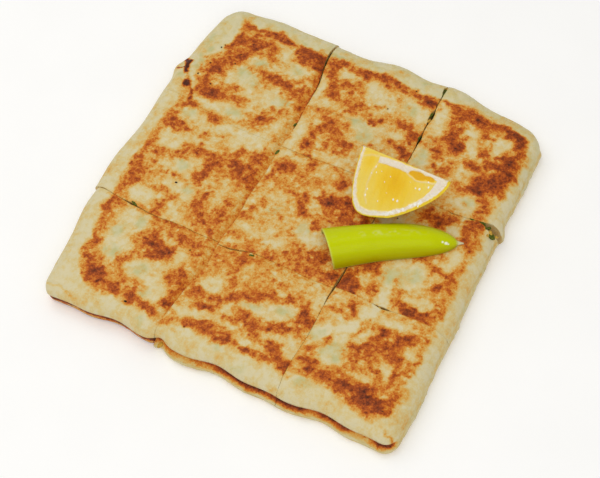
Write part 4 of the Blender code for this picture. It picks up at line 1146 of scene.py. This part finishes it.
def lemon_near_masks(along, down, rim):
    """White core, walls and pith, and how rich the flesh is, on the cut face to the near side.
    Along is from the ridge's middle to the right, down is from the ridge, rim is to the skin."""
    bent_along = along + 0.35 * noise(along, down, 3.0, 401)
    bent_down = down + 0.35 * noise(along, down, 3.0, 402)
    core = ramp(bent_down - along_knots(bent_along, CORE_TOP), -0.25, 0.35)
    core = core * ramp(along_knots(bent_along, CORE_FOOT) - bent_down, -0.3, 0.4)
    core = core * ramp(bent_along, -16.4, -15.8)
    walls = distance_to_line(bent_along, bent_down, LEFT_WALL)
    walls = np.minimum(walls, distance_to_line(bent_along, bent_down, RIDGE_WALL))
    other = distance_to_line(bent_along, bent_down, RIGHT_WALL)
    membrane = np.maximum(0.3 * hump(walls, 0.0, 0.6), 0.42 * hump(other, 0.0, 0.5))
    thick = along_knots(along, PITH_WIDTH) + 0.3 * noise(along, down, 2.0, 403)
    pith = 1.0 - ramp(rim, thick - 0.5, thick + 0.6)
    white = np.clip(np.maximum(np.maximum(core, membrane), pith), 0.0, 1.0)
    # The painted highlight flecks are whitened here too.
    for fleck in PAINTED_FLECKS:
        white = np.maximum(white, 0.9 * (1.0 - ramp(fleck_reach(along, down, *fleck), 0.5, 1.1)))
    rich = 0.75 * np.exp(-(((along + 3.0) / 11.0) ** 2) - ((down - 13.0) / 14.0) ** 2)
    rich = rich + 0.35 * hump(along, -21.0, 3.5) * hump(down, 7.0, 6.0)
    for middle, depth, half_x, half_y in DEEP_SEGMENTS:
        inside = 1.0 - ramp(reach_of(bent_along, bent_down, middle, depth, half_x, half_y), 0.75, 1.15)
        rich = np.maximum(rich, inside)
        white = white * (1.0 - inside)
    return white, rich


def lemon_painted_glints(along, down, rim):
    """Painted highlights on the near face, where wet spots would catch the light: the flecks and a
    speckled line on the rim.
    """
    painted_glint = np.zeros_like(along)
    for fleck in PAINTED_FLECKS:
        painted_glint = np.maximum(painted_glint, 1.0 - ramp(fleck_reach(along, down, *fleck), 0.4, 1.0))
    speckle = ramp(noise(along, down, 1.2, 421) + 0.5 * noise(along, down, 0.7, 423), 0.0, 0.5)
    line = hump(rim, 2.6, 1.2) * ramp(down, 8.0, 12.0) * along_knots(along, PAINTED_GLINT_REACH)
    return np.maximum(painted_glint, speckle * line)


def lemon_face_line(x, share, angle, reach, rim_line, is_near):
    """The points and masks of one line along a cut face, a share of the way down to the skin."""
    down = reach * share
    rim = distance_to_line(x, down, rim_line)
    if is_near:
        white, deep = lemon_near_masks(x, down, rim)
        painted_glint = lemon_painted_glints(x, down, rim)
    else:
        white = np.maximum(1.0 - ramp(rim, 2.2, 3.4), 0.8 * hump(down, 3.0, 1.2))
        deep = np.full_like(x, 0.4)
        painted_glint = np.zeros_like(x)
    peel = along_knots(x, PEEL_WIDTH) + 0.25 * noise(x, down, 1.1, 413)
    skin = 1.0 - ramp(rim, peel - 0.25, peel + 0.35)
    sink = (0.35 + 0.12 * fractal(x, down * 0.3, 2.4, 411)) * (1.0 - white) * ramp(down, 0.0, 2.0)
    sink = sink * ramp(rim, 0.5, 3.0) + 0.25 * hump(down, 0.0, 0.6)
    sink = sink + 0.22 * (1.0 + noise(x, down, 0.9, 415)) * hump(rim, 2.2, 1.2)
    inward = angle + math.pi / 2.0 * (1.0 if is_near else -1.0)
    y = np.cos(angle) * down + np.cos(inward) * sink
    z = np.sin(angle) * down + np.sin(inward) * sink
    return np.stack([x, y, z], 1), (white, deep, skin, x, down, painted_glint)


def lemon_rind_line(x, turn):
    """The points and masks of one line along the skin, turned away from the near face."""
    angle = math.pi + LEMON_SLOPE + turn
    reach = lemon_reach(x, turn)
    none = np.zeros_like(x)
    points = np.stack([x, np.cos(angle) * reach, np.sin(angle) * reach], 1)
    return points, (none, none, np.ones_like(x), x, reach, none)


def lemon_lines(x):
    """All lines round the wedge: down the near face, round the skin and up the far face."""
    near_reach = lemon_reach(x, 0.0)
    far_reach = lemon_reach(x, LEMON_ANGLE)
    near_rim = list(zip(x[::4], near_reach[::4])) + [(x[-1], near_reach[-1])]
    far_rim = list(zip(x[::4], far_reach[::4]))
    near_angle = math.pi + LEMON_SLOPE
    far_angle = near_angle + LEMON_ANGLE
    lines = []
    for step in range(LEMON_FACE_LINES):
        lines.append(lemon_face_line(x, step / LEMON_FACE_LINES, near_angle, near_reach, near_rim, True))
    for step in range(LEMON_RIND_LINES + 1):
        lines.append(lemon_rind_line(x, LEMON_ANGLE * step / LEMON_RIND_LINES))
    for step in range(LEMON_FACE_LINES - 1, 0, -1):
        lines.append(lemon_face_line(x, step / LEMON_FACE_LINES, far_angle, far_reach, far_rim, False))
    return lines


def build_lemon(material):
    half = LEMON_LENGTH / 2.0
    turns = np.linspace(0.0, math.pi, LEMON_STATIONS + 2)[1:-1]
    x = -half + LEMON_LENGTH * ((1.0 - np.cos(turns)) / 2.0)
    lines = lemon_lines(x)
    points = np.stack([line for line, _ in lines], 1).reshape(-1, 3)
    cells = np.arange(len(points)).reshape(LEMON_STATIONS, len(lines))
    faces = []
    for ring, after in zip(cells, cells[1:]):
        faces.extend(ring_faces(ring, after))
    for ring, pole in ((cells[0], len(points)), (cells[-1][::-1], len(points) + 1)):
        faces.extend([pole, a, b] for a, b in zip(ring, np.roll(ring, -1)))
    points = np.concatenate([points, [[-half, 0.0, 0.0], [half, 0.0, 0.0]]])
    attributes = {}
    for number, key in enumerate(("white", "deep", "rind", "along", "down", "painted_glint")):
        values = np.stack([masks[number] for _, masks in lines], 1).ravel()
        attributes[key] = np.concatenate([values, [0.0, 0.0]])
    turned_x, turned_y = turned(points[:, 0], points[:, 1], LEMON_TURN)
    height = points[:, 2] + REST_HEIGHT - points[:, 2].min()
    placed = np.stack([turned_x + LEMON_AT[0], turned_y + LEMON_AT[1], height], 1)
    mesh = new_mesh("lemon_wedge_cut", placed, faces, attributes)
    fix_normals(mesh)
    new_piece("lemon_wedge_cut", mesh, ["lemon_wedge"], material)


def fix_normals(mesh):
    """Turn all faces of a closed mesh outward."""
    bm = bmesh.new()
    bm.from_mesh(mesh)
    bmesh.ops.recalc_face_normals(bm, faces=bm.faces)
    bm.to_mesh(mesh)
    bm.free()


# ---- the half chilli ----


def chilli_radius(share):
    """Half the chilli's width at a share of its length: blunt, then drawn in to a short stub."""
    body = CHILLI_WIDTH / 2.0 * (1.0 - 0.24 * share)
    shoulder = np.maximum(1.0 - (np.maximum(share - 0.4, 0.0) / 0.56) ** 3.3, 0.0)
    stub = 1.5 - 1.0 * ramp(share, 0.95, 1.0)
    return np.maximum(body * shoulder**0.6, stub)


def chilli_place(share, turn, radius):
    """A point of the chilli: share along it, turn from its near edge over the top to the far."""
    across = -radius * np.cos(turn)
    height = 0.96 * radius * np.sin(turn)
    along = share * CHILLI_LENGTH
    along = along - across * math.tan(CHILLI_CUT_SLANT) * (1.0 - ramp(share, 0.0, 0.5))
    across = across + CHILLI_BOW * np.sin(math.pi * np.clip(share, 0.0, 1.0))
    x, y = turned(along, across, CHILLI_TURN)
    return np.stack([CHILLI_AT[0] + x, CHILLI_AT[1] + y, REST_HEIGHT + height], 1)


def chilli_painted_glints(share, side):
    """Painted highlights where the waxy skin would catch the light: flecks by the tip and a faint
    speckled line.
    """
    painted_glint = np.zeros_like(share)
    for fleck_share, fleck_side, size in CHILLI_PAINTED_GLINTS:
        along = (share - fleck_share) * CHILLI_LENGTH / 1.6
        reach = np.hypot(along, (side - fleck_side) * 16.0) / size
        painted_glint = np.maximum(painted_glint, 1.0 - ramp(reach, 0.4, 1.1))
    speckle = ramp(noise(share * CHILLI_LENGTH, side * 40.0, 1.6, 511), 0.0, 0.7)
    return np.maximum(painted_glint, 0.16 * speckle * hump(side, 0.52, 0.05) * hump(share, 0.42, 0.25))


def build_chilli(material):
    steps = np.linspace(0, 1, CHILLI_STEPS)
    share, side = grid_shares(steps, np.linspace(0, 1, CHILLI_SIDES))
    turn = math.pi * side
    arch = np.sin(turn)
    dents = 0.25 * fractal(share * 40.0, side * 9.0, 7.0, 501) + 0.1 * np.cos(turn * 5.0) * (1.0 - share)
    radius = chilli_radius(share)
    outer = chilli_place(share, turn, radius + (dents - 0.3) * arch * ramp(1.0 - share, 0.0, 0.2))
    wall = np.minimum(CHILLI_WALL, 0.55 * radius)
    wall = wall * (0.45 + 0.55 * ramp(share, 0.0, 0.12))
    inner = chilli_place(np.minimum(share, 0.955), turn, np.maximum(radius - wall, 0.3))
    faces = list(grid_faces(CHILLI_STEPS, CHILLI_SIDES))
    faces.extend(grid_faces(CHILLI_STEPS, CHILLI_SIDES, len(share))[:, ::-1])
    rim = border_of_grid(CHILLI_STEPS, CHILLI_SIDES)[0]
    faces.extend(ring_faces(rim, rim + len(share)))
    cut_edge = np.maximum(hump(share, 0.0, 0.007), hump(np.minimum(side, 1.0 - side), 0.0, 0.012))
    masks = {
        "share": np.concatenate([share, share]),
        "cut_edge": np.concatenate([cut_edge, np.ones_like(share)]),
        # Low marks where the skin turns down to the bread; it carries painted shade there.
        "low": np.concatenate([1.0 - arch, np.ones_like(arch)]),
        "side": np.concatenate([side, side]),
        "painted_glint": np.concatenate([chilli_painted_glints(share, side), np.zeros_like(side)]),
    }
    mesh = new_mesh("chilli_half_skin", np.concatenate([outer, inner]), faces, masks)
    fix_normals(mesh)
    new_piece("chilli_half_skin", mesh, ["chilli_half"], material)


# ---- materials ----


def linear(red, green, blue):
    """An sRGB colour in 0 to 255 as the linear values that a shader takes."""

    def one(value):
        value /= 255.0
        return value / 12.92 if value <= 0.04045 else ((value + 0.055) / 1.055) ** 2.4

    return one(red), one(green), one(blue), 1.0


class Nodes:
    """Short names for the few kinds of node that the materials use."""

    def __init__(self, name):
        self.material = bpy.data.materials.new(name)
        self.material.use_nodes = True
        self.tree = self.material.node_tree
        self.shader = self.tree.nodes["Principled BSDF"]
        self.place = self.tree.nodes.new("ShaderNodeTexCoord").outputs["Object"]

    def link(self, source, target):
        if hasattr(source, "links"):
            self.tree.links.new(source, target)
        else:
            target.default_value = source

    def set(self, socket, value):
        self.link(value, self.shader.inputs[socket])

    def attribute(self, name):
        node = self.tree.nodes.new("ShaderNodeAttribute")
        node.attribute_name = name
        return node.outputs["Fac"]

    def noise(self, size_mm, detail=2.0, roughness=0.55, place=None):
        node = self.tree.nodes.new("ShaderNodeTexNoise")
        self.link(place or self.place, node.inputs["Vector"])
        node.inputs["Scale"].default_value = 1.0 / (size_mm * MM)
        node.inputs["Detail"].default_value = detail
        node.inputs["Roughness"].default_value = roughness
        return node.outputs["Fac"]

    def cells(self, size_mm, output="Distance"):
        node = self.tree.nodes.new("ShaderNodeTexVoronoi")
        self.link(self.place, node.inputs["Vector"])
        node.inputs["Scale"].default_value = 1.0 / (size_mm * MM)
        return node.outputs[output]

    def math(self, operation, first, second=0.0, third=0.0, clamp=False):
        node = self.tree.nodes.new("ShaderNodeMath")
        node.operation = operation
        node.use_clamp = clamp
        for value, socket in zip((first, second, third), node.inputs):
            self.link(value, socket)
        return node.outputs["Value"]

    def between(self, value, low, high, to_low=0.0, to_high=1.0):
        node = self.tree.nodes.new("ShaderNodeMapRange")
        node.interpolation_type = "SMOOTHSTEP"
        for number, socket in zip((value, low, high, to_low, to_high), node.inputs):
            self.link(number, socket)
        return node.outputs["Result"]

    def mix(self, share, first, second):
        node = self.tree.nodes.new("ShaderNodeMix")
        node.data_type = "RGBA"
        self.link(share, node.inputs["Factor"])
        self.link(first, node.inputs[6])
        self.link(second, node.inputs[7])
        return node.outputs[2]

    def colours(self, value, stops):
        node = self.tree.nodes.new("ShaderNodeValToRGB")
        self.link(value, node.inputs["Fac"])
        ramp_stops = node.color_ramp.elements
        while len(ramp_stops) < len(stops):
            ramp_stops.new(1.0)
        for element, (place, colour) in zip(ramp_stops, stops):
            element.position = place
            element.color = linear(*colour)
        return node.outputs["Color"]

    def bump(self, height, distance_mm, strength, below=None):
        node = self.tree.nodes.new("ShaderNodeBump")
        node.inputs["Strength"].default_value = strength
        node.inputs["Distance"].default_value = distance_mm * MM
        self.link(height, node.inputs["Height"])
        if below is not None:
            self.link(below, node.inputs["Normal"])
        return node.outputs["Normal"]

    def vector(self, x, y, z):
        node = self.tree.nodes.new("ShaderNodeCombineXYZ")
        for value, socket in zip((x, y, z), node.inputs):
            self.link(value, socket)
        return node.outputs["Vector"]


def dough_material():
    """Fried dough: pale where it did not touch the pan, golden to scorched where it did."""
    m = Nodes("fried_dough_crust")
    toast = m.attribute("toast")
    medium = m.noise(2.6, 4.0, 0.7)
    fine = m.noise(1.0, 2.0, 0.7)
    lively = m.between(toast, 0.1, 0.4, 0.4, 1.0)
    mottle = m.math("MULTIPLY_ADD", fine, 0.6, -0.3)
    mottle = m.math("ADD", m.math("MULTIPLY_ADD", medium, 1.0, -0.5), mottle)
    browned = m.math("MULTIPLY_ADD", mottle, lively, toast)
    colour = m.colours(
        m.math("DIVIDE", browned, 1.2),
        (
            (0.0, (222, 209, 168)),
            (0.1, (220, 199, 140)),
            (0.265, (220, 173, 86)),
            (0.415, (214, 138, 42)),
            (0.55, (194, 95, 18)),
            (0.71, (150, 64, 14)),
            (0.92, (78, 32, 12)),
        ),
    )
    pale = m.between(browned, 0.15, 0.55, 1.0, 0.0)
    green = m.math("MULTIPLY", m.attribute("green"), pale, clamp=True)
    colour = m.mix(m.math("MULTIPLY", green, 0.6), colour, linear(180, 184, 126))
    m.set("Base Color", colour)
    m.set("Roughness", m.between(medium, 0.3, 0.7, 0.42, 0.62))
    m.set("Specular IOR Level", 0.2)
    small = m.bump(m.noise(1.3, 3.0, 0.65), 0.35, 0.6)
    m.set("Normal", m.bump(m.noise(4.5, 2.0), 0.6, 0.35, small))
    return m.material


def filling_material():
    """Soft egg with chopped herbs and crumbs of browned meat."""
    m = Nodes("egg_and_herb_filling")
    colour = m.colours(
        m.cells(2.6, output="Color"),
        (
            (0.0, (214, 178, 84)),
            (0.4, (228, 198, 112)),
            (0.5, (92, 112, 34)),
            (0.75, (58, 84, 26)),
            (0.85, (120, 76, 44)),
        ),
    )
    colour = m.mix(m.between(m.noise(0.8), 0.3, 0.8, 0.0, 0.35), colour, linear(240, 216, 140))
    m.set("Base Color", colour)
    m.set("Roughness", m.between(m.noise(2.0), 0.3, 0.7, 0.3, 0.6))
    m.set("Normal", m.bump(m.cells(1.8), 0.8, 0.7))
    return m.material


def bits_material(name, dark, light):
    """Crumbs, herbs or egg: a rough skin between two colours."""
    m = Nodes(name)
    m.set("Base Color", m.colours(m.noise(0.9, 3.0), ((0.3, dark), (0.7, light))))
    m.set("Roughness", m.between(m.noise(0.6), 0.3, 0.7, 0.35, 0.65))
    m.set("Specular IOR Level", 0.15)
    m.set("Normal", m.bump(m.noise(0.5), 0.3, 0.6))
    return m.material


def lemon_material():
    """Cut lemon: wet flesh in drawn-out juice sacs, white walls and pith, a dimpled rind and painted
    highlights.
    """
    m = Nodes("cut_lemon")
    white = m.attribute("white")
    rind = m.attribute("rind")
    deep = m.attribute("deep")
    stretched = m.vector(m.attribute("along"), m.math("MULTIPLY", m.attribute("down"), 0.16), 0.0)
    # The places along and down are numbers in millimetres, so the size is too.
    sacs = m.noise(2.6 / MM, 2.0, 0.5, stretched)
    rich = m.math("ADD", deep, m.math("MULTIPLY_ADD", sacs, 0.5, -0.25), clamp=True)
    flesh = m.colours(
        rich,
        ((0.0, (244, 216, 96)), (0.35, (246, 208, 54)), (0.7, (243, 194, 10)), (1.0, (234, 176, 0))),
    )
    pith = m.colours(m.noise(1.4, 3.0), ((0.3, (233, 219, 196)), (0.7, (244, 234, 214))))
    colour = m.mix(white, flesh, pith)
    skin = m.colours(m.noise(3.0, 2.0), ((0.3, (232, 196, 18)), (0.7, (240, 210, 36))))
    colour = m.mix(rind, colour, skin)
    # Painted highlights: the highlight mask mixes the colour toward near-white.
    m.set("Base Color", m.mix(m.attribute("painted_glint"), colour, linear(255, 255, 252)))
    m.set("Roughness", m.between(white, 0.0, 1.0, 0.22, 0.4))
    m.set("Subsurface Weight", 0.12)
    m.set("Subsurface Radius", (0.004, 0.003, 0.001))
    m.set("Subsurface Scale", 1.0)
    wet = m.bump(m.math("MULTIPLY", sacs, m.math("SUBTRACT", 1.0, rind)), 0.5, 0.25)
    m.set("Normal", m.bump(m.cells(1.6), 0.35, 0.2, wet))
    return m.material


def chilli_material():
    """Waxy lime skin with painted shade darker towards its foot, painted highlights, a dry tip and a
    thin pale cut edge.
    """
    m = Nodes("green_chilli_skin")
    share = m.attribute("share")
    low = m.attribute("low")
    across = m.math("MULTIPLY", m.attribute("side"), 30.0)
    long_way = m.vector(m.math("MULTIPLY", share, 14.0), across, 0.0)
    streak = m.noise(4.0 / MM, 2.0, 0.5, long_way)
    colour = m.colours(
        # Painted shade: the colour darkens where the skin turns down to its foot.
        m.math("MULTIPLY_ADD", streak, 0.25, m.math("MULTIPLY", low, 0.8)),
        ((0.05, (200, 212, 0)), (0.35, (194, 203, 0)), (0.7, (180, 176, 0)), (1.0, (154, 146, 0))),
    )
    tip = m.between(m.math("MULTIPLY_ADD", streak, 0.03, share), 0.955, 0.985)
    colour = m.mix(tip, colour, linear(216, 210, 168))
    cut_edge = m.math("MULTIPLY", m.attribute("cut_edge"), 0.5, clamp=True)
    colour = m.mix(cut_edge, colour, linear(226, 230, 138))
    # Painted highlights: the highlight mask mixes the colour toward near-white.
    colour = m.mix(m.attribute("painted_glint"), colour, linear(252, 255, 236))
    m.set("Base Color", colour)
    m.set("Roughness", m.between(streak, 0.3, 0.7, 0.3, 0.42))
    m.set("Specular IOR Level", 0.3)
    m.set("Specular Tint", (0.8, 0.9, 0.1, 1.0))
    m.set("Coat Weight", 0.12)
    m.set("Coat Roughness", 0.12)
    m.set("Subsurface Weight", 0.08)
    m.set("Subsurface Radius", (0.002, 0.003, 0.0005))
    m.set("Subsurface Scale", 1.0)
    m.set("Normal", m.bump(m.noise(3.4, 3.0), 0.6, 0.4))
    return m.material


# ---- floor, light and camera ----


def build_stage():
    mesh = bpy.data.meshes.new("floor")
    reach = 3.0
    corners = [(reach * x, reach * y, 0.0) for x, y in ((-1, -1), (1, -1), (1, 1), (-1, 1))]
    mesh.from_pydata(corners, [], [(0, 1, 2, 3)])
    floor = bpy.data.objects.new("floor", mesh)
    bpy.context.scene.collection.objects.link(floor)
    m = Nodes("pale_floor")
    m.set("Base Color", m.colours(m.noise(60.0), ((0.3, (250, 250, 249)), (0.7, (252, 252, 251)))))
    m.set("Roughness", 0.9)
    m.set("Emission Color", (1.0, 1.0, 0.99, 1.0))
    m.set("Emission Strength", 0.1)
    mesh.materials.append(m.material)


def area_light(name, place, size, watts, colour):
    """A square lamp that points at the middle of the bread's foot."""
    data = bpy.data.lights.new(name, "AREA")
    data.shape = "SQUARE"
    data.size = size
    data.energy = watts
    data.color = colour
    light = bpy.data.objects.new(name, data)
    light.location = place
    light.rotation_mode = "QUATERNION"
    light.rotation_quaternion = (-Vector(place)).to_track_quat("-Z", "Y")
    bpy.context.scene.collection.objects.link(light)


def build_light():
    world = bpy.data.worlds.new("studio")
    world.use_nodes = True
    background = world.node_tree.nodes["Background"]
    background.inputs["Color"].default_value = (1.0, 0.99, 0.97, 1.0)
    background.inputs["Strength"].default_value = 0.5
    bpy.context.scene.world = world
    area_light("window", (-0.55, 0.1, 1.2), 1.2, 5.6, (1.0, 0.99, 0.97))
    area_light("fill", (0.52, -0.72, 1.3), 1.2, 6.3, (1.0, 0.99, 0.98))
    bpy.context.scene.view_settings.view_transform = "Standard"
    bpy.context.scene.view_settings.look = "None"


def build_camera():
    right = Vector((0.88345, 0.46341, -0.06910))
    up = Vector((-0.36027, 0.76618, 0.53215))
    back = Vector((0.29954, -0.44523, 0.84383))
    data = bpy.data.cameras.new("camera")
    data.lens = 77.55
    data.sensor_width = 36.0
    data.clip_start = 0.05
    data.clip_end = 20.0
    camera = bpy.data.objects.new("camera", data)
    camera.rotation_mode = "QUATERNION"
    camera.rotation_quaternion = Matrix((right, up, back)).transposed().to_quaternion()
    camera.location = (0.2434, -0.3645, 0.6605)
    bpy.context.scene.collection.objects.link(camera)
    bpy.context.scene.camera = camera


def build_all():
    dough = dough_material()
    filling = filling_material()
    build_dough_and_filling(dough, filling)
    build_crumbs(bits_material("burnt_crumb", (34, 20, 14), (62, 38, 24)))
    build_chips("herb", bits_material("chopped_herb", (44, 60, 12), (112, 118, 30)))
    build_chips("egg", bits_material("egg_bit", (176, 126, 38), (218, 180, 76)))
    build_lemon(lemon_material())
    build_chilli(chilli_material())
    build_stage()
    build_light()
    build_camera()


build_all()
